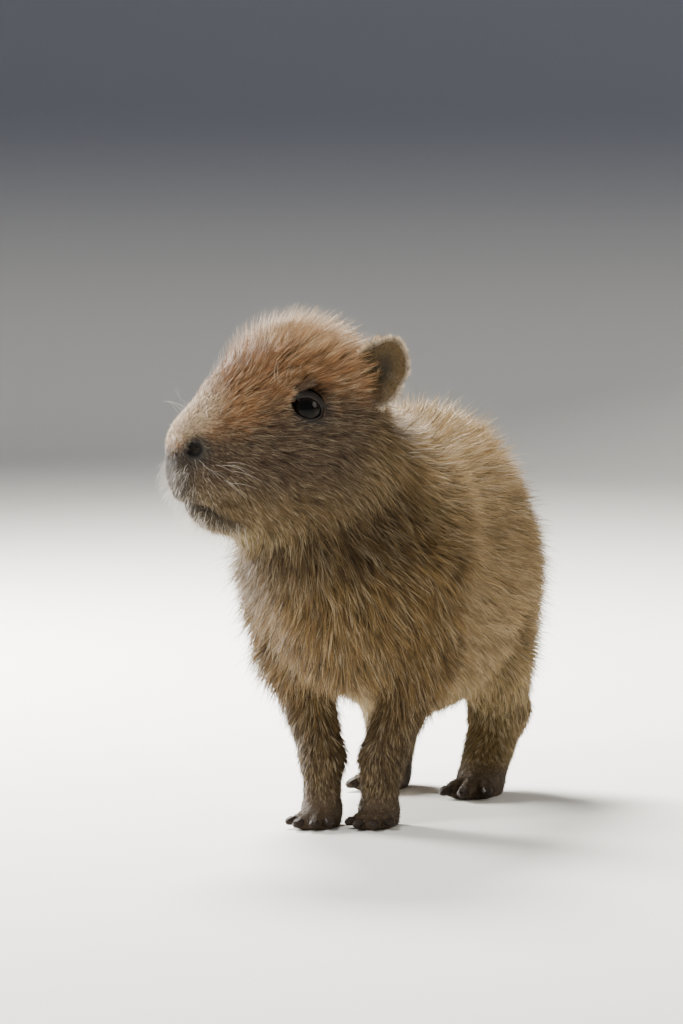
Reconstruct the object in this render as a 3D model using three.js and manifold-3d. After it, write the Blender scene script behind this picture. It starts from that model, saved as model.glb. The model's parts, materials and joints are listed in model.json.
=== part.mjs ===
// A standing capybara pup, life size, as a still museum model.
// Millimetres, +Z up. The body points towards -Y and +X is the animal's left.
// The head is turned to the animal's right, and every solid reaches out to the tips of the short coat.
import * as THREE from "three";
import { mergeVertices } from "three/addons/utils/BufferGeometryUtils.js";
import Module from "manifold-3d";

const wasm = await Module();
wasm.setup();

// Driving dimensions
const GAP = 0.3; // clearance between touching pieces
const SMOOTHING = 0.09; // most that a surface moves when needless facets are merged
const SIDES = { left: 1, right: -1 };

// The head's own frame: nose towards -Y, turned about Z and placed in the body's frame
const HEAD = { at: [-20, -38, 171], turnDeg: -44 };
const HEAD_BLEND = 12;
const EYE = { at: [18.4, 4, -0.6], radius: 7.8, forwardDeg: 17, upDeg: 4, halfWidth: 6.1, halfHeight: 4.6, slantDeg: 20, lid: 1.2 };
const NOSTRIL = { aim: [12.2, -41.2, -15.8], sidewaysDeg: 42, halfWidth: 2.4, halfHeight: 1.8, depth: 4.5, rim: 1.3 };
const MOUTH = { axisY: -20, frontZ: -36, cornerZ: -43.5, sweepDeg: 76, halfGap: 0.5, depth: 1.8, lip: 1.5 };
const EAR = {
  centre: [22, 37, 12.4],
  forwardDeg: 31, // how far the opening faces forward of straight sideways
  leanDeg: 6,
  radius: 11.2,
  corner: { more: 1.3, deg: 50 }, // the upper rear corner reaches further out
  oval: { more: 2.8, deg: 75 }, // longer along this direction
  corners: { more: 0.9, deg: 50 }, // a rounded triangle, with one corner this way
  cup: 5.6,
  thickness: 1.8,
  root: { from: [13.4, 38, 7.4], to: [10, 30, 2], startRadius: 4.4, endRadius: 6 },
};

// Steps of the grids that the flesh is sampled on, so they set the facets' size
const STEP = { head: 4.9, body: 9, leg: 6.4 };

const COLOURS = {
  coat: 0xa68a62,
  crown: 0xa87b52,
  legs: 0x85693f,
  ear: 0x8f7c55,
  eye: 0x14120f,
  claw: 0x40362c,
};

// Soft forms: an ellipsoid, or a limb between two points. Each blends into the ones before it.
function ball(at, radii, blend, pitchDeg = 0) {
  const pitch = THREE.MathUtils.degToRad(pitchDeg);
  return { at, radii, blend, sin: Math.sin(pitch), cos: Math.cos(pitch) };
}

function limb(from, to, startRadius, endRadius, blend) {
  const along = to.map((value, axis) => value - from[axis]);
  return { from, along, startRadius, endRadius, blend, squared: along.reduce((sum, value) => sum + value * value, 0) };
}

function mirrored(form) {
  const flip = ([x, y, z]) => [-x, y, z];
  return form.at ? { ...form, at: flip(form.at) } : { ...form, from: flip(form.from), along: flip(form.along) };
}

const bothSides = (...forms) => forms.flatMap((form) => [form, mirrored(form)]);

function distanceTo(form, x, y, z) {
  if (form.at) {
    const dx = x - form.at[0];
    const dy = y - form.at[1];
    const dz = z - form.at[2];
    const [a, b, c] = form.radii;
    const ly = (dy * form.cos + dz * form.sin) / b;
    const lz = (dz * form.cos - dy * form.sin) / c;
    const lx = dx / a;
    const k0 = Math.hypot(lx, ly, lz);
    const k1 = Math.hypot(lx / a, ly / b, lz / c);
    return k1 < 1e-9 ? -Math.min(a, b, c) : (k0 * (k0 - 1)) / k1;
  }
  const dx = x - form.from[0];
  const dy = y - form.from[1];
  const dz = z - form.from[2];
  const [ax, ay, az] = form.along;
  const share = Math.min(1, Math.max(0, (dx * ax + dy * ay + dz * az) / form.squared));
  const radius = form.startRadius + (form.endRadius - form.startRadius) * share;
  return Math.hypot(dx - ax * share, dy - ay * share, dz - az * share) - radius;
}

function smoothUnion(a, b, blend) {
  const share = Math.max(blend - Math.abs(a - b), 0) / blend;
  return Math.min(a, b) - share * share * blend * 0.25;
}

function fieldOf(forms) {
  return (x, y, z) => forms.reduce((sum, form) => smoothUnion(sum, distanceTo(form, x, y, z), form.blend), 1e3);
}

// Flesh of the trunk, in the body's frame
const TRUNK = [
  ball([0, 22, 102], [43, 50, 50], 10), // ribcage
  ball([0, 76, 88], [46, 57, 52], 24), // belly
  ball([0, 84, 119], [29, 72, 41], 20), // back
  ball([0, 128, 102], [36, 44, 45], 20), // rump
  ball([0, -8, 86], [26, 22, 32], 14), // breast
];
const SHOULDERS = bothSides(limb([31, -1, 104], [28.5, 8, 70], 17.5, 15, 18));
const HAUNCHES = bothSides(ball([24, 122, 78], [15.5, 33, 36], 18, -12));
const NECK = [
  limb([0, 20, 124], [-3, -12, 146], 41, 30, 16),
  limb([-2, -10, 100], [-13, -28, 124], 31, 26, 14), // throat
];

// Flesh of the head, in the head's own frame
const HEAD_FORMS = [
  ball([0, 11, 1], [25, 33, 29.5], 8), // cranium
  ball([0, 4, -24], [29, 36, 30], 14), // jowls
  ball([0, -14, -6], [19, 26, 19], 12, 38), // bridge of the muzzle
  ball([0, -31, -15], [15, 14, 13], 8), // nose
  ball([0, -29, -27], [17, 15.5, 13], 8), // upper lip
  ball([0, -21, -40.5], [12.5, 13.5, 9.5], 8), // chin
  ...bothSides(ball([18, -1, 3], [7, 11, 8], 6, 20)), // brows
];

// Limbs below the shoulder and the thigh, for the left side. A region parts each leg from the torso.
const LEGS = {
  front: {
    foot: [11, 0],
    forms: [
      limb([25.5, 10, 66], [11.8, 2, 27], 15, 8.4, 9),
      limb([11.8, 2, 27], [11, 0, 8], 8.4, 7.8, 6),
    ],
    region: [
      ball([40, 2, 76], [24, 27, 36], 1),
      ball([26, 9, 56], [19, 22, 22], 1),
      ball([16, 4, 28], [17.5, 20, 35], 1),
    ],
    stepsForward: { left: -3, right: 4 },
  },
  hind: {
    foot: [22, 110],
    forms: [
      limb([28, 106, 60], [24, 129, 34], 17, 12, 10),
      limb([24, 129, 33], [21.8, 113, 8], 11.6, 10, 7),
    ],
    region: [
      ball([38, 126, 76], [24, 36, 40], 1, -12),
      ball([29, 119, 48], [18, 29, 24], 1),
      ball([24, 122, 26], [17, 34, 32], 1),
    ],
    stepsForward: { left: 4, right: -6 },
  },
};

const ANKLE_HEIGHT = 13;
const LEAN_HEIGHT = 60; // above this height a leg stands straight, however far the foot has stepped
const SOFT_BOX = { low: -8, high: 132 };
const FEET = {
  front: { ankle: 7.9, pad: [8.4, 9, 8], web: [8.4, 12.5, 4.6], toes: [[-28, 12.5], [-9, 15.5], [11, 16], [33, 12]], toe: 3.4, claw: [2.3, 3.6, 2] },
  hind: { ankle: 10.2, pad: [10, 12, 9], web: [9.6, 15.5, 5.2], toes: [[-25, 17], [0, 20], [25, 16.5]], toe: 4.1, claw: [2.8, 4.3, 2.3] },
};
const PAD_HEIGHT = 5;
const WEB_FORWARD = 5;

// Solids made from three.js geometry, and back
function solidOf(geometry) {
  const plain = (geometry.index ? geometry.toNonIndexed() : geometry.clone()).deleteAttribute("normal");
  plain.deleteAttribute("uv");
  const merged = mergeVertices(plain, 1e-4);
  const triVerts = new Uint32Array(merged.index.array);
  const made = new wasm.Manifold(
    new wasm.Mesh({ numProp: 3, vertProperties: merged.attributes.position.array, triVerts }),
  );
  if (made.volume() >= 0) return made;
  for (let i = 0; i < triVerts.length; i += 3) {
    [triVerts[i + 1], triVerts[i + 2]] = [triVerts[i + 2], triVerts[i + 1]];
  }
  return new wasm.Manifold(new wasm.Mesh({ numProp: 3, vertProperties: merged.attributes.position.array, triVerts }));
}

function geometryOf(solid) {
  const mesh = solid.getMesh();
  const positions = new Float32Array(mesh.numVert * 3);
  for (let i = 0; i < mesh.numVert; i++) {
    positions.set(mesh.vertProperties.subarray(i * mesh.numProp, i * mesh.numProp + 3), i * 3);
  }
  return new THREE.BufferGeometry()
    .setAttribute("position", new THREE.BufferAttribute(positions, 3))
    .setIndex(new THREE.BufferAttribute(mesh.triVerts, 1));
}

const largest = (solid) => solid.decompose().reduce((best, piece) => (piece.volume() > best.volume() ? piece : best));

function meshGeometry(points, faces) {
  return new THREE.BufferGeometry()
    .setAttribute("position", new THREE.BufferAttribute(new Float32Array(points.flat()), 3))
    .setIndex(faces.flat());
}

// A closed mesh of the zero level of a field, with one vertex in each grid cell that the surface passes
function surfaceOf(field, low, high, step) {
  const [nx, ny, nz] = low.map((value, axis) => Math.ceil((high[axis] - value) / step) + 1);
  const node = (i, j, k) => i + nx * (j + ny * k);
  const values = new Float64Array(nx * ny * nz);
  for (let k = 0; k < nz; k++) {
    for (let j = 0; j < ny; j++) {
      for (let i = 0; i < nx; i++) {
        const edge = i === 0 || j === 0 || k === 0 || i === nx - 1 || j === ny - 1 || k === nz - 1;
        const value = field(low[0] + i * step, low[1] + j * step, low[2] + k * step);
        values[node(i, j, k)] = edge ? Math.max(value, step / 2) : value;
      }
    }
  }
  const corners = [0, 1, 2, 3, 4, 5, 6, 7].map((c) => [c & 1, (c >> 1) & 1, (c >> 2) & 1]);
  const edges = [];
  corners.forEach((a, m) =>
    corners.forEach((b, n) => {
      if (n > m && Math.abs(a[0] - b[0]) + Math.abs(a[1] - b[1]) + Math.abs(a[2] - b[2]) === 1) edges.push([m, n]);
    }),
  );
  const points = [];
  const cellVertex = new Int32Array(nx * ny * nz).fill(-1);
  for (let k = 0; k < nz - 1; k++) {
    for (let j = 0; j < ny - 1; j++) {
      for (let i = 0; i < nx - 1; i++) {
        const at = corners.map(([a, b, c]) => values[node(i + a, j + b, k + c)]);
        if (at.every((v) => v > 0) || at.every((v) => v <= 0)) continue;
        const sum = [0, 0, 0];
        let crossings = 0;
        for (const [m, n] of edges) {
          if (at[m] > 0 === at[n] > 0) continue;
          const share = at[m] / (at[m] - at[n]);
          for (let axis = 0; axis < 3; axis++) {
            sum[axis] += corners[m][axis] + (corners[n][axis] - corners[m][axis]) * share;
          }
          crossings += 1;
        }
        const cell = [i, j, k];
        const point = sum.map((value, axis) => low[axis] + (cell[axis] + value / crossings) * step);
        const inner = cell.every((value, axis) => value > 0 && value < [nx, ny, nz][axis] - 2);
        cellVertex[node(i, j, k)] = points.length;
        points.push(inner ? settle(field, point, step * 0.3) : point);
      }
    }
  }
  const faces = [];
  const quad = (a, b, c, d, flip) => {
    const gap = (m, n) => Math.hypot(...points[m].map((value, axis) => value - points[n][axis]));
    const ring = flip ? [d, c, b, a] : [a, b, c, d];
    const [p, q, r, s] = ring;
    if (gap(p, r) < gap(q, s)) faces.push([p, q, r], [p, r, s]);
    else faces.push([q, r, s], [q, s, p]);
  };
  for (let k = 0; k < nz - 1; k++) {
    for (let j = 0; j < ny - 1; j++) {
      for (let i = 0; i < nx - 1; i++) {
        const here = values[node(i, j, k)] <= 0;
        const cell = (a, b, c) => cellVertex[node(i + a, j + b, k + c)];
        if (j && k && here !== values[node(i + 1, j, k)] <= 0) {
          quad(cell(0, -1, -1), cell(0, 0, -1), cell(0, 0, 0), cell(0, -1, 0), !here);
        }
        if (i && k && here !== values[node(i, j + 1, k)] <= 0) {
          quad(cell(-1, 0, -1), cell(-1, 0, 0), cell(0, 0, 0), cell(0, 0, -1), !here);
        }
        if (i && j && here !== values[node(i, j, k + 1)] <= 0) {
          quad(cell(-1, -1, 0), cell(0, -1, 0), cell(0, 0, 0), cell(-1, 0, 0), !here);
        }
      }
    }
  }
  return meshGeometry(points, faces);
}

function slopeOf(field, [x, y, z]) {
  const h = 0.2;
  return [
    (field(x + h, y, z) - field(x - h, y, z)) / (2 * h),
    (field(x, y + h, z) - field(x, y - h, z)) / (2 * h),
    (field(x, y, z + h) - field(x, y, z - h)) / (2 * h),
  ];
}

// Moves a point onto the zero level of a field, at most a given way
function settle(field, point, most) {
  const value = field(...point);
  const slope = slopeOf(field, point);
  const steepness = Math.hypot(...slope);
  const way = THREE.MathUtils.clamp(value / steepness, -most, most);
  return point.map((coordinate, axis) => coordinate - (slope[axis] / steepness) * way);
}

// Frames of the head
const headFrame = new THREE.Matrix4()
  .makeRotationZ(THREE.MathUtils.degToRad(HEAD.turnDeg))
  .setPosition(...HEAD.at);
const headInverse = headFrame.clone().invert().elements;

function inHead(field) {
  const m = headInverse;
  return (x, y, z) =>
    field(
      m[0] * x + m[4] * y + m[8] * z + m[12],
      m[1] * x + m[5] * y + m[9] * z + m[13],
      m[2] * x + m[6] * y + m[10] * z + m[14],
    );
}

const bodyFromHead = (point) => new THREE.Vector3(...point).applyMatrix4(headFrame).toArray();

const headFlesh = fieldOf(HEAD_FORMS);
const headInBody = inHead(headFlesh);
const neckAndTrunk = fieldOf([...TRUNK, ...SHOULDERS, ...HAUNCHES, ...NECK]);

// How far back a leg's foot stands from its plain place, at a height
const stepBack = (pair, sideName, z) =>
  -LEGS[pair].stepsForward[sideName] * THREE.MathUtils.clamp(1 - z / LEAN_HEIGHT, 0, 1);

// The middle of a leg at a height below its knee, on the left side
function legAt(pair, sideName, height) {
  const { from, along } = LEGS[pair].forms[1];
  const share = (height - from[2]) / along[2];
  return [from[0] + along[0] * share, from[1] + along[1] * share + stepBack(pair, sideName, height)];
}

const legFields = Object.entries(LEGS).flatMap(([pair, leg]) =>
  Object.entries(SIDES).map(([sideName, side]) => {
    const own = fieldOf(leg.forms);
    return (x, y, z) => own(side * x, y - stepBack(pair, sideName, z), z);
  }),
);
const LEG_BLEND = 11;
const flesh = (x, y, z) => {
  const legs = z > SOFT_BOX.high ? 1e3 : Math.min(...legFields.map((field) => field(x, y, z)));
  return smoothUnion(smoothUnion(neckAndTrunk(x, y, z), legs, LEG_BLEND), headInBody(x, y, z), HEAD_BLEND);
};

// Half spaces that part the head, the neck and the torso: a point and the direction of the side that is kept
const NAPE = { at: bodyFromHead([0, 40, -4]), facing: new THREE.Vector3(0, -1, -0.3).normalize() };
NAPE.facing.applyAxisAngle(new THREE.Vector3(0, 0, 1), THREE.MathUtils.degToRad(HEAD.turnDeg * 0.8));
const COLLAR = { at: [0, -2, 127.6], facing: new THREE.Vector3(-0.1, -0.62, 0.78).normalize() };

function halfSpace({ at, facing }, inset) {
  const size = 500;
  const box = new THREE.BoxGeometry(size, size, size).translate(0, 0, size / 2 + inset);
  const turn = new THREE.Quaternion().setFromUnitVectors(new THREE.Vector3(0, 0, 1), facing);
  return solidOf(box.applyQuaternion(turn).translate(...at));
}

const slab = (low, high) => solidOf(new THREE.BoxGeometry(500, 500, high - low).translate(0, 0, (low + high) / 2));

// Plain solids
const globe = (at, radii, across, down) => new THREE.SphereGeometry(1, across, down).scale(...radii).translate(...at);

function rod(from, to, startRadius, endRadius, around = 10) {
  const start = new THREE.Vector3(...from);
  const way = new THREE.Vector3(...to).sub(start);
  const profile = [];
  for (const quarter of [-90, -50, 0]) {
    const angle = THREE.MathUtils.degToRad(quarter);
    profile.push([startRadius * Math.cos(angle), startRadius * Math.sin(angle)]);
  }
  for (const quarter of [0, 50, 90]) {
    const angle = THREE.MathUtils.degToRad(quarter);
    profile.push([endRadius * Math.cos(angle), way.length() + endRadius * Math.sin(angle)]);
  }
  const lathe = new THREE.LatheGeometry(
    profile.map(([radius, height]) => new THREE.Vector2(Math.max(radius, 0), height)),
    around,
  );
  const turn = new THREE.Quaternion().setFromUnitVectors(new THREE.Vector3(0, 1, 0), way.normalize());
  return solidOf(lathe.applyQuaternion(turn).translate(...from));
}

// A closed tube around a ring of centres, or an open one with flat ends. Each centre comes with its two cross directions.
function tube(stations, radius, around, closed) {
  const points = [];
  const faces = [];
  for (const { at, across, up } of stations) {
    for (let i = 0; i < around; i++) {
      const angle = (i / around) * 2 * Math.PI;
      const [c, s] = [Math.cos(angle) * radius, Math.sin(angle) * radius];
      points.push(at.map((value, axis) => value + across[axis] * c + up[axis] * s));
    }
  }
  const rings = stations.length;
  for (let ring = 0; ring < (closed ? rings : rings - 1); ring++) {
    for (let i = 0; i < around; i++) {
      const [a, b] = [ring * around + i, ring * around + ((i + 1) % around)];
      const [c, d] = [((ring + 1) % rings) * around + i, ((ring + 1) % rings) * around + ((i + 1) % around)];
      faces.push([a, b, d], [a, d, c]);
    }
  }
  for (let i = 1; !closed && i < around - 1; i++) {
    const end = (rings - 1) * around;
    faces.push([0, i + 1, i], [end, end + i, end + i + 1]);
  }
  return solidOf(meshGeometry(points, faces));
}

// Named pieces are collected here
const root = new THREE.Group();

function addPiece(name, solid, colour) {
  const material = new THREE.MeshStandardMaterial({ color: colour, roughness: 0.85, metalness: 0 });
  const mesh = new THREE.Mesh(geometryOf(largest(solid).simplify(SMOOTHING)), material);
  mesh.name = name;
  root.add(mesh);
}

// Legs and feet
function regionSolid(forms, side, grow) {
  return forms
    .map(({ at, radii, sin, cos }) => {
      const round = globe([0, 0, 0], radii.map((radius) => radius + grow), 12, 8);
      round.rotateX(-Math.atan2(sin, cos)).translate(...at);
      return solidOf(side < 0 ? round.scale(-1, 1, 1) : round);
    })
    .reduce((sum, piece) => sum.add(piece));
}

function addFoot(pair, sideName, side) {
  const shape = FEET[pair];
  const [x, y] = [side * LEGS[pair].foot[0], LEGS[pair].foot[1] + stepBack(pair, sideName, 0)];
  const [ankleX, ankleY] = legAt(pair, sideName, ANKLE_HEIGHT);
  let foot = solidOf(globe([x, y, PAD_HEIGHT], shape.pad, 10, 6)).add(solidOf(globe([x, y - WEB_FORWARD, 1], shape.web, 12, 4)));
  foot = foot.add(rod([side * ankleX, ankleY, ANKLE_HEIGHT + 3], [x, y + 1, PAD_HEIGHT + 2], shape.ankle, shape.ankle, 10));
  shape.toes.forEach(([angleDeg, reach], index) => {
    const angle = THREE.MathUtils.degToRad(angleDeg) * side;
    const [dx, dy] = [Math.sin(angle), -Math.cos(angle)];
    const tip = [x + dx * reach, y + dy * reach];
    foot = foot.add(rod([x + dx * 3, y + dy * 3, PAD_HEIGHT + 2], [...tip, shape.toe - 0.6], shape.toe, shape.toe * 0.92, 6));
    const nail = (grow) => {
      const [across, along, high] = shape.claw.map((half) => half + grow);
      const made = new THREE.SphereGeometry(1, 6, 4).scale(across, along, high);
      made.rotateX(THREE.MathUtils.degToRad(9)).rotateZ(angle);
      return made.translate(tip[0] + dx * shape.toe * 0.9, tip[1] + dy * shape.toe * 0.9, shape.claw[2] + 1.2);
    };
    foot = foot.subtract(solidOf(nail(GAP)));
    addPiece(`claw_${pair}_${sideName}_${index + 1}`, solidOf(nail(0)), COLOURS.claw);
  });
  addPiece(`${pair}_foot_${sideName}`, foot.intersect(slab(0, ANKLE_HEIGHT - GAP / 2)), COLOURS.legs);
}

let legRoom = null;
for (const [pair, leg] of Object.entries(LEGS)) {
  for (const [sideName, side] of Object.entries(SIDES)) {
    const low = [side > 0 ? -4 : -66, Math.min(...leg.region.map((f) => f.at[1] - f.radii[1])) - 8, SOFT_BOX.low];
    const high = [side > 0 ? 66 : 4, Math.max(...leg.region.map((f) => f.at[1] + f.radii[1])) + 8, SOFT_BOX.high];
    const legFlesh = solidOf(surfaceOf(flesh, low, high, STEP.leg));
    const own = legFlesh.intersect(regionSolid(leg.region, side, 0));
    addPiece(`${pair}_leg_${sideName}`, own.intersect(slab(ANKLE_HEIGHT + GAP / 2, 200)), COLOURS.legs);
    addFoot(pair, sideName, side);
    const room = regionSolid(leg.region, side, GAP);
    legRoom = legRoom ? legRoom.add(room) : room;
  }
}

// Torso and neck
const bodyFlesh = solidOf(surfaceOf(flesh, [-96, -100, 16], [68, 204, 214], STEP.body)).subtract(legRoom);
addPiece("torso", bodyFlesh.subtract(halfSpace(COLLAR, -GAP / 2)), COLOURS.coat);
const neck = bodyFlesh.intersect(halfSpace(COLLAR, GAP / 2)).subtract(halfSpace(NAPE, -GAP / 2));

// Face. Everything below is made in the head's own frame, then placed.
const placedInBody = (solid) => solidOf(geometryOf(solid).applyMatrix4(headFrame));
const onSide = (solid, side) => (side > 0 ? solid : solid.mirror([1, 0, 0]));
const turned = (forwardDeg, upDeg) => {
  const [forward, up] = [forwardDeg, upDeg].map(THREE.MathUtils.degToRad);
  return new THREE.Vector3(Math.cos(forward) * Math.cos(up), -Math.sin(forward) * Math.cos(up), Math.sin(up));
};

function onHead(point) {
  let found = point;
  for (let i = 0; i < 4; i++) found = settle(headFlesh, found, 20);
  return found;
}

// Cross directions of something that faces outwards: along its length (forwards) and up
function crossOf(facing, slantDeg) {
  const forward = new THREE.Vector3(0, 0, 1).cross(facing).negate().normalize();
  forward.applyAxisAngle(facing, THREE.MathUtils.degToRad(slantDeg));
  return { forward, up: new THREE.Vector3().crossVectors(forward, facing).normalize() };
}

// Stations on an oval ring about a facing direction, at a height that may differ from place to place
function ovalStations(centre, facing, { forward, up }, halfWidth, halfHeight, heightAt, count) {
  return Array.from({ length: count }, (_, i) => {
    const angle = (i / count) * 2 * Math.PI;
    const [c, s] = [Math.cos(angle), Math.sin(angle)];
    const out = forward.clone().multiplyScalar(c).addScaledVector(up, s).normalize();
    const at = new THREE.Vector3(...centre)
      .addScaledVector(forward, halfWidth * c)
      .addScaledVector(up, halfHeight * s)
      .addScaledVector(facing, heightAt(halfWidth * c, halfHeight * s));
    return { at: at.toArray(), across: out.toArray(), up: facing.toArray() };
  });
}

// Eyes: a ball in a socket, an opening flared through the flesh, and a lid that rings the opening
const eyeFacing = turned(EYE.forwardDeg, EYE.upDeg);
const eyeCross = crossOf(eyeFacing, -EYE.slantDeg);
const eyeBall = (grow, across, down) => solidOf(globe(EYE.at, [0, 0, 0].map(() => EYE.radius + grow), across, down));
const lidHeight = (a, b) => Math.sqrt(Math.max((EYE.radius + 0.5) ** 2 - a * a - b * b, 1));

function eyeOpening() {
  const rings = [
    { height: 2, spread: -0.5 },
    { height: EYE.radius + 6, spread: 4.6 },
  ];
  const points = rings.flatMap(({ height, spread }) =>
    ovalStations(EYE.at, eyeFacing, eyeCross, EYE.halfWidth + spread, EYE.halfHeight + spread, () => height, 12).map(({ at }) => at),
  );
  const faces = [];
  for (let i = 0; i < 12; i++) {
    const next = (i + 1) % 12;
    faces.push([i, next, 12 + next], [i, 12 + next, 12 + i]);
    if (i > 0 && i < 11) faces.push([0, i + 1, i], [12, 12 + i, 12 + i + 1]);
  }
  return solidOf(meshGeometry(points, faces));
}

function eyeLid() {
  const [halfWidth, halfHeight] = [EYE.halfWidth + EYE.lid * 0.6, EYE.halfHeight + EYE.lid * 0.6];
  return tube(ovalStations(EYE.at, eyeFacing, eyeCross, halfWidth, halfHeight, lidHeight, 14), EYE.lid, 5, true);
}

// Nostrils: a pit with a rolled rim
const nostrilAt = onHead(NOSTRIL.aim);
const nostrilFacing = turned(90 - NOSTRIL.sidewaysDeg, -4);
const nostrilCross = crossOf(nostrilFacing, 25);

function nostrilPit() {
  const pit = new THREE.SphereGeometry(1, 10, 6).scale(NOSTRIL.halfWidth, NOSTRIL.depth, NOSTRIL.halfHeight);
  const basis = new THREE.Matrix4().makeBasis(nostrilCross.forward, nostrilFacing, nostrilCross.up);
  return solidOf(pit.applyMatrix4(basis).translate(...nostrilAt));
}

function nostrilRim() {
  const [halfWidth, halfHeight] = [NOSTRIL.halfWidth + NOSTRIL.rim * 0.7, NOSTRIL.halfHeight + NOSTRIL.rim * 0.7];
  const ring = ovalStations(nostrilAt, nostrilFacing, nostrilCross, halfWidth, halfHeight, () => -0.5, 10);
  return tube(ring, NOSTRIL.rim, 5, true);
}

// Mouth: its line runs round the muzzle, dips towards the corners and is cut between two full lips
function mouthStations(count) {
  return Array.from({ length: count }, (_, i) => {
    const share = (i / (count - 1)) * 2 - 1;
    const angle = THREE.MathUtils.degToRad(MOUTH.sweepDeg * share);
    const [dx, dy] = [Math.sin(angle), -Math.cos(angle)];
    const z = MOUTH.frontZ + (MOUTH.cornerZ - MOUTH.frontZ) * Math.abs(share) ** 1.6;
    let [near, far] = [1, 50];
    for (let step = 0; step < 30; step++) {
      const middle = (near + far) / 2;
      if (headFlesh(dx * middle, MOUTH.axisY + dy * middle, z) < 0) near = middle;
      else far = middle;
    }
    return { out: [dx, dy, 0], at: [dx * near, MOUTH.axisY + dy * near, z] };
  });
}

function mouthSolids() {
  const stations = mouthStations(13);
  const lips = tube(
    stations.map(({ out, at }) => ({ at: at.map((v, axis) => v - out[axis] * MOUTH.lip * 0.45), across: out, up: [0, 0, 1] })),
    MOUTH.lip,
    5,
    false,
  );
  const points = stations.flatMap(({ out, at }) =>
    [[-MOUTH.depth, -1], [4, -1], [4, 1], [-MOUTH.depth, 1]].map(([inward, rise]) =>
      at.map((value, axis) => value + out[axis] * inward + (axis === 2 ? rise * MOUTH.halfGap : 0)),
    ),
  );
  const faces = [];
  for (let ring = 0; ring < stations.length - 1; ring++) {
    for (let i = 0; i < 4; i++) {
      const [a, b] = [ring * 4 + i, ring * 4 + ((i + 1) % 4)];
      faces.push([a, b, b + 4], [a, b + 4, a + 4]);
    }
  }
  const end = (stations.length - 1) * 4;
  faces.push([0, 2, 1], [0, 3, 2], [end, end + 1, end + 2], [end, end + 2, end + 3]);
  return { lips, line: solidOf(meshGeometry(points, faces)) };
}

// Ears: a cupped shell with a drawn-out upper corner, on a root that sits in the head
const earFacing = turned(EAR.forwardDeg, -EAR.leanDeg);
const earCross = crossOf(earFacing, 0);

function earSolid(grow) {
  const around = 16;
  const from = ({ more, deg }, times) => (angle) => more * Math.cos(times * (angle - THREE.MathUtils.degToRad(deg)));
  const [corner, oval, corners] = [from(EAR.corner, 1), from(EAR.oval, 2), from(EAR.corners, 3)];
  const reach = (angle) => EAR.radius + corner(angle) + oval(angle) + corners(angle);
  const depth = (share) => -EAR.cup * (1 - share ** 2);
  const rings = [
    ...[0.45, 0.8, 0.97].map((share) => ({ share, wider: 0, height: depth(share) + grow })),
    { share: 1.02, wider: grow, height: -EAR.thickness * 0.5 },
    ...[0.96, 0.7].map((share) => ({ share, wider: grow, height: depth(share) - EAR.thickness - grow })),
  ];
  const place = (distance, angle, height) =>
    new THREE.Vector3(...EAR.centre)
      .addScaledVector(earCross.forward, -Math.cos(angle) * distance)
      .addScaledVector(earCross.up, Math.sin(angle) * distance)
      .addScaledVector(earFacing, height)
      .toArray();
  const points = rings.flatMap(({ share, wider, height }) =>
    Array.from({ length: around }, (_, i) => {
      const angle = (i / around) * 2 * Math.PI;
      return place(reach(angle) * share + wider, angle, height);
    }),
  );
  const [front, back] = [points.length, points.length + 1];
  points.push(place(0, 0, depth(0) + grow), place(0, 0, depth(0) - EAR.thickness - grow));
  const faces = [];
  for (let i = 0; i < around; i++) {
    const next = (i + 1) % around;
    for (let ring = 0; ring < rings.length - 1; ring++) {
      const [a, b] = [ring * around, (ring + 1) * around];
      faces.push([a + i, b + i, b + next], [a + i, b + next, a + next]);
    }
    const last = (rings.length - 1) * around;
    faces.push([front, i, next], [back, last + next, last + i]);
  }
  const { startRadius, endRadius } = EAR.root;
  return solidOf(meshGeometry(points, faces)).add(rod(EAR.root.from, EAR.root.to, startRadius + grow, endRadius + grow, 8));
}

// Head, and the neck behind it, which the ears' roots reach into
const faceFlesh = solidOf(surfaceOf(flesh, [-110, -130, 60], [40, 30, 222], STEP.head));
let head = faceFlesh.intersect(halfSpace(NAPE, GAP / 2)).intersect(halfSpace(COLLAR, GAP / 2)).subtract(legRoom);
const { lips, line } = mouthSolids();
head = head.add(placedInBody(lips)).subtract(placedInBody(line));
let earRoom = null;
for (const [sideName, side] of Object.entries(SIDES)) {
  const placed = (solid) => placedInBody(onSide(solid, side));
  head = head.subtract(placed(eyeOpening())).add(placed(eyeLid())).subtract(placed(eyeBall(GAP, 16, 9)));
  head = head.add(placed(nostrilRim())).subtract(placed(nostrilPit()));
  const room = placed(earSolid(GAP));
  earRoom = earRoom ? earRoom.add(room) : room;
  addPiece(`eye_${sideName}`, placed(eyeBall(0, 16, 9)), COLOURS.eye);
  addPiece(`ear_${sideName}`, placed(earSolid(0)), COLOURS.ear);
}
addPiece("head", head.subtract(earRoom), COLOURS.crown);
addPiece("neck", neck.subtract(earRoom), COLOURS.coat);

// The origin is the middle of the footprint, on the floor
const box = new THREE.Box3().setFromObject(root);
root.position.set(-(box.min.x + box.max.x) / 2, -(box.min.y + box.max.y) / 2, -box.min.z);

export default root;
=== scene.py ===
"""A standing capybara pup, life size: skin, short coat, eyes, ears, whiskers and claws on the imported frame.

The flesh is a field of soft forms, as in the frame's source. The skin is its zero level, sunk by the coat's
depth, and the coat grows from that skin in locks that follow the lie of the fur.
Forms are in millimetres in the body's own frame, and turned to metres when a mesh is made.
"""
import json
import math

import bpy
import numpy as np
from mathutils import Matrix, Vector
from mathutils.kdtree import KDTree

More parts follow.
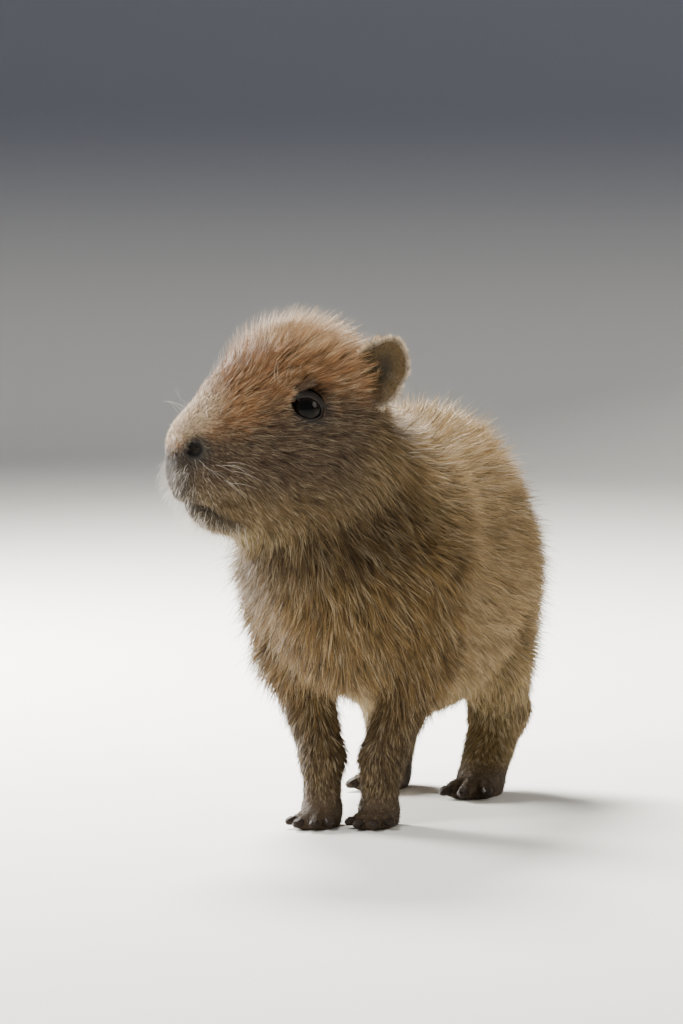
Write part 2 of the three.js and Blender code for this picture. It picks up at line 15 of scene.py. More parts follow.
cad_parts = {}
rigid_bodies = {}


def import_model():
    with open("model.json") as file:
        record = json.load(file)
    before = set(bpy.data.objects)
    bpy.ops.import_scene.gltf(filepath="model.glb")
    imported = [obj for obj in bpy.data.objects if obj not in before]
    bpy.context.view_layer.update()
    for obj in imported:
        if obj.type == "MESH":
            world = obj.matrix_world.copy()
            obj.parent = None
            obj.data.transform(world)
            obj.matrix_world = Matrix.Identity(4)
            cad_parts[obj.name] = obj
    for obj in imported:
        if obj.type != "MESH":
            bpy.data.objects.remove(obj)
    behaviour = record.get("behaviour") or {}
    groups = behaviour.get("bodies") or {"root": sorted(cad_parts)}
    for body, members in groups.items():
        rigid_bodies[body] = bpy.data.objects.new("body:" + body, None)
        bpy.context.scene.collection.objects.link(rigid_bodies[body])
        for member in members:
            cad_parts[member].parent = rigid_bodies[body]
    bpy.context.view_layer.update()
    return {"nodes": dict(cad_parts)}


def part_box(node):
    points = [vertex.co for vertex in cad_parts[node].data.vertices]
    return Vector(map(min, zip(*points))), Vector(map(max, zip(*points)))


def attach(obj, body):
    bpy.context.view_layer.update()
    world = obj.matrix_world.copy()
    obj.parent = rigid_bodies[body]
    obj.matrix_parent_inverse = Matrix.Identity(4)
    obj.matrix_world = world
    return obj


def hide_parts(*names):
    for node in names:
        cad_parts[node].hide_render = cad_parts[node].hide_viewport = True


# Blender starts with a cube, a lamp and a camera, which are no part of the model
for leftover in list(bpy.data.objects):
    bpy.data.objects.remove(leftover)

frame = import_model()

MM = 0.001
SEED = 2397
rng = np.random.default_rng(SEED)
SIDES = {"left": 1.0, "right": -1.0}

# The head's own frame, and the named places on it: places and lengths in mm, turns in degrees
HEAD_AT = np.array([-20.0, -38.0, 171.0])
HEAD_TURN = math.radians(-44)
HEAD_BLEND = 12.0
EYE = {"at": (18.4, 4.0, -0.6), "radius": 7.8, "forward": 17, "up": 4, "half": (6.3, 4.4), "set_back": 0.5,
       "slant": -20, "lid": (-0.3, 2.4)}
NOSTRIL = {"aim": (12.0, -41.5, -15.8), "sideways": 42, "half": (2.5, 1.9), "depth": 4.6}
MOUTH = {"axis_y": -20.0, "front_z": -36.0, "corner_z": -43.5, "sweep": 76}
EAR = {"centre": (22.0, 37.0, 12.4), "forward": 31, "lean": 6, "cup": 5.6, "thickness": 1.5}

# How far the ear's edge is from its middle in each direction, in degrees from the back and up over the top
EAR_OUTLINE = {
    24: 10.8, 50: 12.8, 68: 14.8, 88: 12.6, 107: 11.4, 128: 11.4, 146: 12.2,
    175: 9.6, 205: 8.0, 235: 11.4, 257: 14.0, 280: 12.4, 320: 8.3, 352: 9.4,
}
NOSE_TOP = np.array([0.0, -46.0, -11.0])


# Soft forms
def ball(at, radii, blend, pitch=0.0):
    at, radii = np.array(at, float), np.array(radii, float)
    return {"at": at, "radii": radii, "blend": blend, "pitch": math.radians(pitch)}


def limb(start, end, start_radius, end_radius, blend):
    start, end = np.array(start, float), np.array(end, float)
    return {"from": start, "along": end - start, "radii": (start_radius, end_radius), "blend": blend}


def mirrored(form):
    flip = np.array([-1.0, 1.0, 1.0])
    return {key: value * flip if key in ("at", "from", "along") else value for key, value in form.items()}


def both_sides(form):
    return [form, mirrored(form)]


def distance_to(form, p):
    if "at" in form:
        a, b, c = form["radii"]
        d = p - form["at"]
        s, t = math.sin(form["pitch"]), math.cos(form["pitch"])
        x = d[:, 0] / a
        y = (d[:, 1] * t + d[:, 2] * s) / b
        z = (d[:, 2] * t - d[:, 1] * s) / c
        k0 = np.sqrt(x * x + y * y + z * z)
        k1 = np.sqrt((x / a) ** 2 + (y / b) ** 2 + (z / c) ** 2) + 1e-9
        return k0 * (k0 - 1) / k1
    d = p - form["from"]
    along = form["along"]
    share = np.clip(d @ along / (along @ along), 0, 1)
    start, end = form["radii"]
    return np.linalg.norm(d - share[:, None] * along, axis=1) - (start + (end - start) * share)


def smooth_union(a, b, blend):
    share = np.maximum(blend - np.abs(a - b), 0) / blend
    return np.minimum(a, b) - share * share * blend * 0.25


def field_of(forms, p):
    total = distance_to(forms[0], p)
    for form in forms[1:]:
        total = smooth_union(total, distance_to(form, p), form["blend"])
    return total


TRUNK = [
    ball([0, 22, 102], [43, 50, 50], 10),
    ball([0, 76, 88], [46, 57, 52], 24),
    ball([0, 84, 119], [29, 72, 41], 20),
    ball([0, 128, 102], [36, 44, 45], 20),
    ball([0, -8, 86], [26, 22, 32], 14),
    *both_sides(limb([31, -1, 104], [28.5, 8, 70], 17.5, 15, 18)),
    *both_sides(ball([24, 122, 78], [15.5, 33, 36], 18, -12)),
    limb([0, 20, 124], [-3, -12, 146], 41, 30, 16),
    limb([-2, -10, 100], [-13, -28, 124], 31, 26, 14),
]
HEAD = [
    ball([0, 11, 1], [25, 33, 29.5], 8),
    ball([0, 4, -24], [29, 36, 30], 14),
    ball([0, -14, -6], [19, 26, 19], 12, 38),
    ball([0, -31, -15], [15, 14, 13], 8),
    ball([0, -29, -27], [17, 15.5, 13], 8),
    ball([0, -21, -40.5], [12.5, 13.5, 9.5], 8),
    *both_sides(ball([18, -1, 3], [7, 11, 8], 6, 20)),
]
LEGS = {
    "front": {
        "foot": (11, 0),
        "forms": [
            limb([25.5, 10, 66], [11.8, 2, 27], 15, 8.4, 9),
            limb([11.8, 2, 27], [11, 0, 8], 8.4, 7.8, 6),
        ],
        "forward": {"left": -3, "right": 4},
        "pad": ([8.4, 9, 8], [8.4, 12.5, 4.6]),
        "toes": [(-28, 12.5), (-9, 15.5), (11, 16), (33, 12)],
        "toe": 3.4,
    },
    "hind": {
        "foot": (22, 110),
        "forms": [
            limb([28, 106, 60], [24, 129, 34], 17, 12, 10),
            limb([24, 129, 33], [21.8, 113, 8], 11.6, 10, 7),
        ],
        "forward": {"left": 4, "right": -6},
        "pad": ([10, 12, 9], [9.6, 15.5, 5.2]),
        "toes": [(-25, 17), (0, 20), (25, 16.5)],
        "toe": 4.1,
    },
}
LEAN_HEIGHT = 60.0
LEG_BLEND = 11.0
PAD_HEIGHT = 5.0


def to_head(p):
    c, s = math.cos(HEAD_TURN), math.sin(HEAD_TURN)
    d = p - HEAD_AT
    return np.stack([c * d[:, 0] + s * d[:, 1], -s * d[:, 0] + c * d[:, 1], d[:, 2]], axis=1)


def turn_from_head(v):
    c, s = math.cos(HEAD_TURN), math.sin(HEAD_TURN)
    return np.stack([c * v[..., 0] - s * v[..., 1], s * v[..., 0] + c * v[..., 1], v[..., 2]], axis=-1)


def from_head(p):
    return turn_from_head(p) + HEAD_AT


def step_back(leg, side_name, z):
    return -leg["forward"][side_name] * np.clip(1 - z / LEAN_HEIGHT, 0, 1)


def foot_forms(leg):
    x, y = leg["foot"]
    pad, web = leg["pad"]
    forms = [ball([x, y, PAD_HEIGHT], pad, 3), ball([x, y - 5, 1], web, 3)]
    for angle, reach in leg["toes"]:
        dx, dy = math.sin(math.radians(angle)), -math.cos(math.radians(angle))
        start = [x + dx * 3, y + dy * 3, PAD_HEIGHT + 2]
        tip = [x + dx * reach, y + dy * reach, leg["toe"] - 0.6]
        forms.append(limb(start, tip, leg["toe"], leg["toe"] * 0.92, 1.6))
    return forms


def legs_field(p):
    total = np.full(len(p), 1e3)
    for leg in LEGS.values():
        for side_name, side in SIDES.items():
            q = p * np.array([side, 1.0, 1.0])
            q[:, 1] -= step_back(leg, side_name, p[:, 2])
            total = np.minimum(total, field_of(leg["forms"] + foot_forms(leg), q))
    return total


def trunk_field(p):
    return field_of(TRUNK, p)


def head_field(p):
    return field_of(HEAD, to_head(p))


# Directions on the face, in the head's frame
def facing(forward, up):
    forward, up = math.radians(forward), math.radians(up)
    return np.array([math.cos(forward) * math.cos(up), -math.sin(forward) * math.cos(up), math.sin(up)])


def cross_of(out, slant):
    along = -np.cross([0, 0, 1], out)
    along /= np.linalg.norm(along)
    turn = Matrix.Rotation(math.radians(slant), 3, Vector(out))
    along = np.array(turn @ Vector(along))
    return along, np.cross(along, out)


def eye_share(along, up, spread):
    """Less than 1 inside the eye's opening: an almond, drawn out towards the nose."""
    x = (along + EYE["set_back"]) / (EYE["half"][0] + spread)
    x = np.where(x > 0, x / 1.06, x)
    y = (up + 0.5 * np.maximum(x, 0) ** 2) / (EYE["half"][1] + spread)
    return np.sqrt(x * x + y * y * (1 + 0.45 * x * x))


def on_head(point):
    p = np.array([point], float)
    for _ in range(5):
        slope = slope_of(lambda q: field_of(HEAD, q), p)
        p = p - slope * field_of(HEAD, p)[:, None]
    return p[0]


def slope_of(field, p, h=0.3):
    slope = np.empty_like(p)
    for axis in range(3):
        shift = np.zeros(3)
        shift[axis] = h
        slope[:, axis] = field(p + shift) - field(p - shift)
    return slope / (np.linalg.norm(slope, axis=1)[:, None] + 1e-9)


EYE_OUT = facing(EYE["forward"], EYE["up"])
EYE_ALONG, EYE_UP = cross_of(EYE_OUT, EYE["slant"])
NOSTRIL_OUT = facing(90 - NOSTRIL["sideways"], -4)
NOSTRIL_ALONG, NOSTRIL_UP = cross_of(NOSTRIL_OUT, 25)
NOSTRIL_AT = on_head(NOSTRIL["aim"])
FLIP = np.array([-1.0, 1.0, 1.0])


def smoothstep(low, high, value):
    t = np.clip((value - low) / (high - low), 0, 1)
    return t * t * (3 - 2 * t)


def mix(a, b, share):
    return a + (b - a) * share


def wave(p, length, seed):
    """Smooth noise from -1 to 1 whose bumps are about the given length apart."""
    own = np.random.default_rng(SEED + seed)
    total = np.zeros(len(p))
    for _ in range(5):
        way = own.normal(size=3)
        way *= 2 * math.pi / (length * own.uniform(0.7, 1.5) * np.linalg.norm(way))
        total += np.sin(p @ way + own.uniform(0, 2 * math.pi))
    return total / 2.6


# How the coat grows at each place
def headness(p):
    return smoothstep(-9, 9, trunk_field(p) - head_field(p))


def coat_at(p):
    """Length, lift and width of the hairs, and how close they stand."""
    h = to_head(p)
    head = headness(p)
    muzzle = smoothstep(-16, -36, h[:, 1]) * head
    crown = smoothstep(-4, 20, h[:, 2]) * smoothstep(-22, 0, h[:, 1]) * head
    near_eye = np.exp(-(np.linalg.norm(np.abs(h) - np.array([25.0, 2.0, 0.0]), axis=1) / 9.5) ** 2) * head
    low = 1 - smoothstep(26, 70, p[:, 2])
    foot = 1 - smoothstep(8, 22, p[:, 2])
    back = smoothstep(120, 152, p[:, 2]) * smoothstep(10, 50, p[:, 1])
    chin = smoothstep(-34, -44, h[:, 2]) * smoothstep(-8, -24, h[:, 1]) * head
    length = mix(11.0, 6.6, head) + 3.0 * back + 5.4 * crown
    length = mix(length, 2.3, muzzle * (1 - 0.6 * chin))
    length = mix(length, 2.0, near_eye)
    length = mix(length, 4.2, low * (1 - head))
    length = mix(length, 1.8, foot)
    lift = mix(31.0, 23.0, head) + 34 * crown + 12 * back
    lift = mix(lift, 18.0, np.maximum(low, muzzle) * (1 - 0.5 * chin))
    width = mix(0.36, 0.27, head) + 0.06 * crown
    width = mix(width, 0.17, np.maximum(muzzle, foot))
    density = mix(1.0, 1.9, head) + 0.8 * low
    density = mix(density, 4.2, np.maximum(muzzle, 0.7 * near_eye))
    density = mix(density, 3.0, foot)
    return {"length": length, "lift": np.radians(lift), "width": width, "density": density}


def depth_at(p):
    coat = coat_at(p)
    return np.clip(coat["length"] * np.sin(coat["lift"]) * 0.95, 0.25, 6.5)


def lie_at(p):
    """The way that the fur lies, before it is pressed to the skin."""
    h = to_head(p)
    head = headness(p)[:, None]
    from_nose = h - NOSE_TOP
    from_nose /= np.linalg.norm(from_nose, axis=1)[:, None] + 1e-6
    droop = smoothstep(-30, 25, h[:, 1]) * smoothstep(10, -20, h[:, 2])
    from_nose[:, 2] -= 0.45 * droop
    head_way = turn_from_head(from_nose)
    side = np.tanh(p[:, 0] / 12)
    front = smoothstep(30, -15, p[:, 1])
    top = smoothstep(125, 152, p[:, 2])
    back_way = np.stack([0.1 * side, np.full(len(p), 0.85), -0.62 * (1 - top)], axis=1)
    chest_way = np.stack([0.35 * side, np.full(len(p), 0.3), np.full(len(p), -0.95)], axis=1)
    leg_way = np.stack([np.zeros(len(p)), np.full(len(p), 0.22), np.full(len(p), -1.0)], axis=1)
    way = mix(back_way, chest_way, front[:, None])
    way = mix(way, leg_way, (1 - smoothstep(38, 62, p[:, 2]))[:, None])
    toes = 1 - smoothstep(6, 14, p[:, 2])
    way = mix(way, np.array([0.0, -1.0, -0.3]), toes[:, None])
    return mix(way, head_way, head)


# Markings: colours of the coat in the places where the animal has them, with painted light on the back,
# crown, nose bridge and chin, and painted shade under the jaw and on the lips
def srgb(red, green, blue):
    c = np.array([red, green, blue]) / 255
    return np.where(c <= 0.04045, c / 12.92, ((c + 0.055) / 1.055) ** 2.4)


TINTS = {
    "flank": srgb(142, 117, 78),
    # painted light: the back's paler tint lightens the top of the body, where the light from behind and above
    # falls
    "back": srgb(172, 143, 98),
    "chest": srgb(116, 90, 50),
    # painted shade: the dark tint under the jaw and in the crease between head and neck
    "throat_shade": srgb(74, 56, 30),
    "leg": srgb(90, 71, 43),
    "belly": srgb(146, 124, 80),
    # painted light: the crown's pale tint stands for light from behind glowing in the fur on top of the head
    "crown": srgb(190, 158, 118),
    "forehead": srgb(150, 108, 70),
    "cheek": srgb(82, 64, 46),
    "jaw": srgb(114, 92, 56),
    # painted light: the chin's pale tint stands for light from behind glowing through the fringe under the
    # chin
    "chin": srgb(160, 138, 86),
    # painted highlight: the pale tint on top of the muzzle stands for the light falling on it from above
    "bridge_highlight": srgb(200, 174, 142),
    "nose": srgb(58, 51, 43),
    # the lips' own dark skin, darkened further as painted shade under the upper lip
    "lip_and_shade": srgb(62, 53, 42),
    "lid": srgb(70, 58, 48),
    "foot": srgb(92, 75, 56),
}


def markings(p):
    h = to_head(p)
    head = headness(p)
    blotch = 0.5 + 0.5 * wave(p, 26, 3)
    tint = np.tile(TINTS["flank"], (len(p), 1))

    def lay(colour, share):
        nonlocal tint
        tint = mix(tint, TINTS[colour], np.clip(share, 0, 1)[:, None])

    # painted light: the top of the body is lightened, with the blotches' own changes of tone
    lay("back", smoothstep(118, 150, p[:, 2]) * (0.75 + 0.25 * blotch))
    lay("belly", smoothstep(72, 44, p[:, 2]) * smoothstep(15, 45, p[:, 1]) * 0.8)
    lay("chest", smoothstep(38, 2, p[:, 1]) * smoothstep(140, 110, p[:, 2]) * (0.7 + 0.3 * blotch))
    # painted shade under the jaw and in the crease where the head meets the neck
    under_jaw_shade = smoothstep(16, -12, p[:, 1]) * smoothstep(92, 116, p[:, 2]) * smoothstep(150, 128, p[:, 2])
    lay("throat_shade", under_jaw_shade * smoothstep(36, 20, np.abs(p[:, 0])) * 0.6)
    crease_shade = smoothstep(20, 7, head_field(p)) * smoothstep(12, -14, h[:, 2])
    lay("throat_shade", crease_shade * 0.55)
    lay("leg", smoothstep(64, 34, p[:, 2]) * smoothstep(34, 14, np.abs(p[:, 1] - 3)) * 0.9)
    strength = mix(0.8, 0.45, smoothstep(50, 80, p[:, 1]))
    lay("leg", smoothstep(56, 14, p[:, 2] + 3 * wave(p, 16, 5)) * strength)
    lay("foot", smoothstep(16, 8, p[:, 2]))
    face = np.tile(TINTS["cheek"], (len(p), 1))
    body_tint, tint = tint, face
    lay("forehead", smoothstep(-3, 12, h[:, 2] - 0.45 * np.minimum(h[:, 1], 0) + 2.5 * wave(p, 18, 4)))
    # painted light: the top of the head is lightened for the light from behind
    lay("crown", smoothstep(12, 25, h[:, 2] + 0.12 * h[:, 1]) * 0.9)
    middle = smoothstep(15, 9, np.abs(h[:, 0]))
    # painted highlight on the top of the muzzle
    lay("bridge_highlight", smoothstep(-22, -36, h[:, 1]) * smoothstep(-17, -8, h[:, 2]) * middle)
    lay("jaw", smoothstep(-22, -42, h[:, 2]) * 0.8)
    # painted light: the underside of the chin is lightened for the light from behind
    lay("chin", smoothstep(-42, -54, h[:, 2]))
    nostril = np.minimum(
        np.linalg.norm(h - NOSTRIL_AT, axis=1),
        np.linalg.norm(h - NOSTRIL_AT * FLIP, axis=1),
    )
    lay("nose", smoothstep(8.5, 4.2, nostril) * 0.95)
    front = smoothstep(14, 7, np.abs(h[:, 0])) * smoothstep(-36, -41, h[:, 1])
    lay("nose", front * smoothstep(-13, -18, h[:, 2]) * 0.8)
    # the lips' dark skin along the mouth's line, partly painted shade under the upper lip
    below_mouth = mouth_height(h) - h[:, 2]
    on_lip = smoothstep(-3, 0, below_mouth) * smoothstep(8.5, 4.5, below_mouth)
    lay("lip_and_shade", on_lip * smoothstep(-18, -27, h[:, 1]) * 0.9)
    eye = np.minimum(
        np.linalg.norm(h - np.array(EYE["at"]) - EYE_OUT * 6, axis=1),
        np.linalg.norm(h - (np.array(EYE["at"]) + EYE_OUT * 6) * FLIP, axis=1),
    )
    lay("lid", smoothstep(11.0, 7.5, eye) * 0.8)
    return mix(body_tint, tint, head[:, None])


def mouth_height(h):
    angle = np.degrees(np.arctan2(np.abs(h[:, 0]), MOUTH["axis_y"] - h[:, 1]))
    share = np.clip(angle / MOUTH["sweep"], 0, 1)
    return MOUTH["front_z"] + (MOUTH["corner_z"] - MOUTH["front_z"]) * share**1.6


def flesh_field(p):
    total = smooth_union(trunk_field(p), legs_field(p), LEG_BLEND)
    return smooth_union(total, head_field(p), HEAD_BLEND)


# The skin's field: flesh sunk by the coat's depth, with sockets, nostrils, the mouth's line and flat soles
MOUTH_GROOVE = 2.0
LIP_RISE = 0.9


def skin_field(p):
    total = flesh_field(p) + depth_at(p)
    h = to_head(p)
    near = np.nonzero((h[:, 1] < 20) & (np.abs(total) < 9) & (p[:, 2] > 110))[0]
    hn, value = h[near], total[near]
    for flip in (np.ones(3), FLIP):
        d = hn * flip - np.array(EYE["at"])
        out, along, up = d @ EYE_OUT, d @ EYE_ALONG, d @ EYE_UP
        spread = np.clip((out - 4.0) * 0.42, 0, 4)
        opening = (eye_share(along, up, spread) - 1) * EYE["half"][1]
        opening = np.maximum(opening, 2 - out)
        socket = np.minimum(np.linalg.norm(d, axis=1) - EYE["radius"] - 0.25, opening)
        value = -smooth_union(-value, socket, 1.2)
        d = hn * flip - NOSTRIL_AT
        out, along, up = d @ NOSTRIL_OUT, d @ NOSTRIL_ALONG, d @ NOSTRIL_UP
        half = np.array(NOSTRIL["half"]) + 0.7
        share = np.sqrt((along / half[0]) ** 2 + (up / half[1]) ** 2 + (out / NOSTRIL["depth"]) ** 2)
        pit = (share - 1) * half[1]
        value = -smooth_union(-value, pit, 1.0)
    ring = np.hypot(hn[:, 0], hn[:, 1] - MOUTH["axis_y"])
    angle = np.degrees(np.arctan2(np.abs(hn[:, 0]), MOUTH["axis_y"] - hn[:, 1]))
    reach = smoothstep(MOUTH["sweep"] + 4, MOUTH["sweep"] - 16, angle)
    groove = MOUTH_GROOVE * reach * np.exp(-((hn[:, 2] - mouth_height(hn)) / 0.9) ** 2) * (ring > 6)
    lips = LIP_RISE * reach * np.exp(-((np.abs(hn[:, 2] - mouth_height(hn)) - 2.3) / 1.5) ** 2) * (ring > 6)
    total[near] = value + groove - lips
    return np.maximum(total, 0.15 - p[:, 2])


def surface_of(field, low, high, step):
    """Vertices and quads of the zero level, one vertex in each grid cell that it passes."""
    counts = [int(math.ceil((b - a) / step)) + 1 for a, b in zip(low, high)]
    axes = [low[axis] + step * np.arange(counts[axis]) for axis in range(3)]
    values = np.empty(counts, dtype=np.float32)
    y, z = np.meshgrid(axes[1], axes[2], indexing="ij")
    for i, x in enumerate(axes[0]):
        p = np.stack([np.full(y.size, x), y.ravel(), z.ravel()], axis=1)
        values[i] = field(p).reshape(y.shape)
    inside = values < 0
    cells = np.zeros([n - 1 for n in counts], dtype=np.uint8)
    corners = [(a, b, c) for a in (0, 1) for b in (0, 1) for c in (0, 1)]
    for a, b, c in corners:
        cells += inside[a : counts[0] - 1 + a, b : counts[1] - 1 + b, c : counts[2] - 1 + c]
    crossed = np.argwhere((cells > 0) & (cells < 8))
    number = np.full(cells.shape, -1, dtype=np.int64)
    number[tuple(crossed.T)] = np.arange(len(crossed))
    total = np.zeros((len(crossed), 3))
    hits = np.zeros(len(crossed))
    for m, first in enumerate(corners):
        for second in corners[m + 1 :]:
            if sum(abs(a - b) for a, b in zip(first, second)) != 1:
                continue
            va = values[tuple((crossed + first).T)]
            vb = values[tuple((crossed + second).T)]
            hit = (va < 0) != (vb < 0)
            share = np.where(hit, va / np.where(hit, va - vb, 1), 0)
            place = np.array(first) + (np.array(second) - np.array(first)) * share[:, None]
            total += place * hit[:, None]
            hits += hit
    points = np.array(low) + (crossed + total / hits[:, None]) * step
    quads = []
    for axis in range(3):
        b, c = (axis + 1) % 3, (axis + 2) % 3
        here = [slice(1, -1)] * 3
        here[axis] = slice(0, -1)
        there = list(here)
        there[axis] = slice(1, None)
        change = inside[tuple(here)] != inside[tuple(there)]
        at = np.argwhere(change)
        at[:, b] += 1
        at[:, c] += 1
        solid = inside[tuple(at.T)]
        ring = []
        for db, dc in ((-1, -1), (0, -1), (0, 0), (-1, 0)):
            cell = at.copy()
            cell[:, b] += db
            cell[:, c] += dc
            ring.append(number[tuple(cell.T)])
        ring = np.stack(ring, axis=1)
        ring[~solid] = ring[~solid][:, ::-1]
        quads.append(ring)
    return points, np.concatenate(quads)


# Row frame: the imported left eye's centre shows where the body's frame lies in it
eye_low, eye_high = [np.array(corner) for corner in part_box("eye_left")]
ORIGIN = (eye_low + eye_high) / 2 / MM - from_head(np.array(EYE["at"]))
ORIGIN[2] = 0.0


def place(p):
    return (p + ORIGIN) * MM


# Meshes and materials
def mesh_object(name, points, faces, tint=None, uv=None, checked=True):
    """An object from points in metres and one or more arrays of faces."""
    faces = [faces] if isinstance(faces, np.ndarray) else faces
    mesh = bpy.data.meshes.new(name)
    loops = np.concatenate([f.ravel() for f in faces]).astype(np.int32)
    sizes = np.concatenate([np.full(len(f), f.shape[1]) for f in faces])
    starts = np.concatenate([[0], np.cumsum(sizes)[:-1]]).astype(np.int32)
    mesh.vertices.add(len(points))
    mesh.vertices.foreach_set("co", np.asarray(points, dtype=np.float32).ravel())
    mesh.loops.add(len(loops))
    mesh.loops.foreach_set("vertex_index", loops)
    mesh.polygons.add(len(sizes))
    mesh.polygons.foreach_set("loop_start", starts)
    mesh.polygons.foreach_set("use_smooth", np.full(len(sizes), True))
    if tint is not None:
        layer = mesh.attributes.new("Tint", "FLOAT_COLOR", "POINT")
        layer.data.foreach_set("color", np.c_[tint, np.ones(len(tint))].astype(np.float32).ravel())
    if uv is not None:
        layer = mesh.uv_layers.new(name="OFBake")
        layer.data.foreach_set("uv", np.asarray(uv, dtype=np.float32)[loops].ravel())
    mesh.update(calc_edges=True)
    if checked:
        mesh.validate()
    made = bpy.data.objects.new(name, mesh)
    bpy.context.scene.collection.objects.link(made)
    return made


def finish_piece(piece):
    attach(piece, "root")


def unwrap(piece):
    """An unwrap of the piece's own shape, as an array of each face's corners."""
    bpy.ops.object.select_all(action="DESELECT")
    bpy.context.view_layer.objects.active = piece
    piece.select_set(True)
    piece.data.uv_layers.new(name="OFBake")
    bpy.ops.object.mode_set(mode="EDIT")
    bpy.ops.mesh.select_all(action="SELECT")
    bpy.ops.uv.smart_project(angle_limit=math.radians(66), island_margin=0.002)
    bpy.ops.object.mode_set(mode="OBJECT")
    uv = np.empty(len(piece.data.loops) * 2, dtype=np.float32)
    piece.data.uv_layers["OFBake"].data.foreach_get("uv", uv)
    return uv.reshape(-1, 4, 2).astype(float)


BUMP_SIZE = 1500.0
BUMP_DEPTH = 0.4 * MM


def fill(node, values):
    for key, value in values.items():
        node.inputs[key].default_value = value


def material(name, colour=None, roughness=0.6, specular=0.5, mottle=0.0, mottle_size=400.0, bump=0.0):
    """A procedural finish in one colour, or in the mesh's own Tint where none is given."""
    made = bpy.data.materials.new(name)
    made.use_nodes = True
    nodes, links = made.node_tree.nodes, made.node_tree.links
    shader = nodes["Principled BSDF"]
    fill(shader, {"Roughness": roughness, "Specular IOR Level": specular})
    where = nodes.new("ShaderNodeTexCoord")
    base = None
    if colour is None:
        source = nodes.new("ShaderNodeAttribute")
        source.attribute_name = "Tint"
        base = source.outputs["Color"]
    else:
        shader.inputs["Base Color"].default_value = (*colour, 1)
    if mottle:
        noise = nodes.new("ShaderNodeTexNoise")
        fill(noise, {"Scale": mottle_size, "Detail": 4})
        spread = nodes.new("ShaderNodeMapRange")
        fill(spread, {"From Min": 0.3, "From Max": 0.7, "To Min": 1 - mottle, "To Max": 1 + mottle})
        scaled = nodes.new("ShaderNodeVectorMath")
        scaled.operation = "SCALE"
        links.new(where.outputs["Object"], noise.inputs["Vector"])
        links.new(noise.outputs["Fac"], spread.inputs["Value"])
        if base:
            links.new(base, scaled.inputs[0])
        else:
            scaled.inputs[0].default_value = tuple(colour)
        links.new(spread.outputs["Result"], scaled.inputs["Scale"])
        base = scaled.outputs["Vector"]
    if base:
        links.new(base, shader.inputs["Base Color"])
    if bump:
        grain = nodes.new("ShaderNodeTexNoise")
        fill(grain, {"Scale": BUMP_SIZE, "Detail": 3})
        raised = nodes.new("ShaderNodeBump")
        fill(raised, {"Strength": bump, "Distance": BUMP_DEPTH})
        links.new(where.outputs["Object"], grain.inputs["Vector"])
        links.new(grain.outputs["Fac"], raised.inputs["Height"])
        links.new(raised.outputs["Normal"], shader.inputs["Normal"])
    return made


SKIN = material("skin", roughness=0.72, specular=0.25, mottle=0.18, mottle_size=500, bump=0.35)
COAT = material("coat", roughness=0.62, specular=0.28, mottle=0.12, mottle_size=260)
EAR_SKIN = material("ear_skin", roughness=0.6, specular=0.3, mottle=0.15, mottle_size=600, bump=0.3)
LID_SKIN = material(
    "lid_skin", srgb(34, 30, 26), roughness=0.55, specular=0.2, mottle=0.2, mottle_size=900, bump=0.5
)
CLAW_HORN = material(
    "claw_horn", srgb(44, 36, 30), roughness=0.62, specular=0.12, mottle=0.25, mottle_size=900, bump=0.2
)
EYE_WET = material("eye_wet", roughness=0.05, specular=0.09, mottle=0.35, mottle_size=1400)
WHISKER = material("whisker", srgb(206, 196, 182), roughness=0.4, mottle=0.1, mottle_size=300)


# Skin
SKIN_STEP = 1.3
SKIN_SHADE = 0.5
skin_points, skin_quads = surface_of(skin_field, [-62, -92, -3], [62, 186, 206], SKIN_STEP)
skin_out = slope_of(skin_field, skin_points)
skin_points = skin_points - skin_out * np.clip(skin_field(skin_points), -0.5, 0.5)[:, None]
skin_tint = markings(skin_points) * SKIN_SHADE
for flip in (np.ones(3), FLIP):
    d = to_head(skin_points) * flip - NOSTRIL_AT
    far = np.linalg.norm(d, axis=1)
    leather = smoothstep(7.5, 4.5, far) * 0.85
    # painted shade: the inside of each nostril's pit is painted near black
    pit = smoothstep(4.6, 3.4, far) * smoothstep(0.4, -0.7, d @ NOSTRIL_OUT)
    skin_tint = mix(skin_tint, srgb(54, 48, 41), leather[:, None])
    skin_tint = mix(skin_tint, srgb(5, 4, 4), pit[:, None])
skin = mesh_object("skin", place(skin_points), skin_quads, tint=skin_tint)
skin.data.materials.append(SKIN)
flesh_nodes = ["head", "neck", "torso"]
flesh_nodes += [f"{pair}_{part}_{side}" for pair in LEGS for part in ("leg", "foot") for side in SIDES]
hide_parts(*flesh_nodes)
finish_piece(skin)
skin_uv = unwrap(skin)


# Ears: cupped shells, finer than the frame's
EAR_OUT = facing(EAR["forward"], -EAR["lean"])
EAR_ALONG, EAR_UP = cross_of(EAR_OUT, 0)


def ear_place(share, angle, height):
    knots, reaches = zip(*EAR_OUTLINE.items())
    turns = [np.interp(np.degrees(angle) + by, knots, reaches, period=360) for by in (-10, -5, 0, 5, 10)]
    reach = np.mean(turns, axis=0)
    distance = (reach * share)[:, None]
    flat = -EAR_ALONG * np.cos(angle)[:, None] + EAR_UP * np.sin(angle)[:, None]
    return np.array(EAR["centre"]) + flat * distance + EAR_OUT * height[:, None]


def ear_floor(share, angle):
    """Depth of the cup, with the folds that run down to the ear's root."""
    fold = 1.1 * np.exp(-(((angle - 4.0) / 0.5) ** 2)) + 0.8 * np.exp(-(((angle - 5.3) / 0.4) ** 2))
    ripple = 0.25 * np.sin(angle * 7 + 1.0) * share**2
    return -EAR["cup"] * (1 - share**2) + fold * np.sin(share * math.pi) + ripple


EAR_AROUND, EAR_RINGS = 72, 15
INNER_SHARES = np.linspace(0.04, 0.97, EAR_RINGS)
RIM_HEIGHTS = (-0.1, -0.75)
OUTER_SHARES = np.linspace(0.98, 0.04, EAR_RINGS)


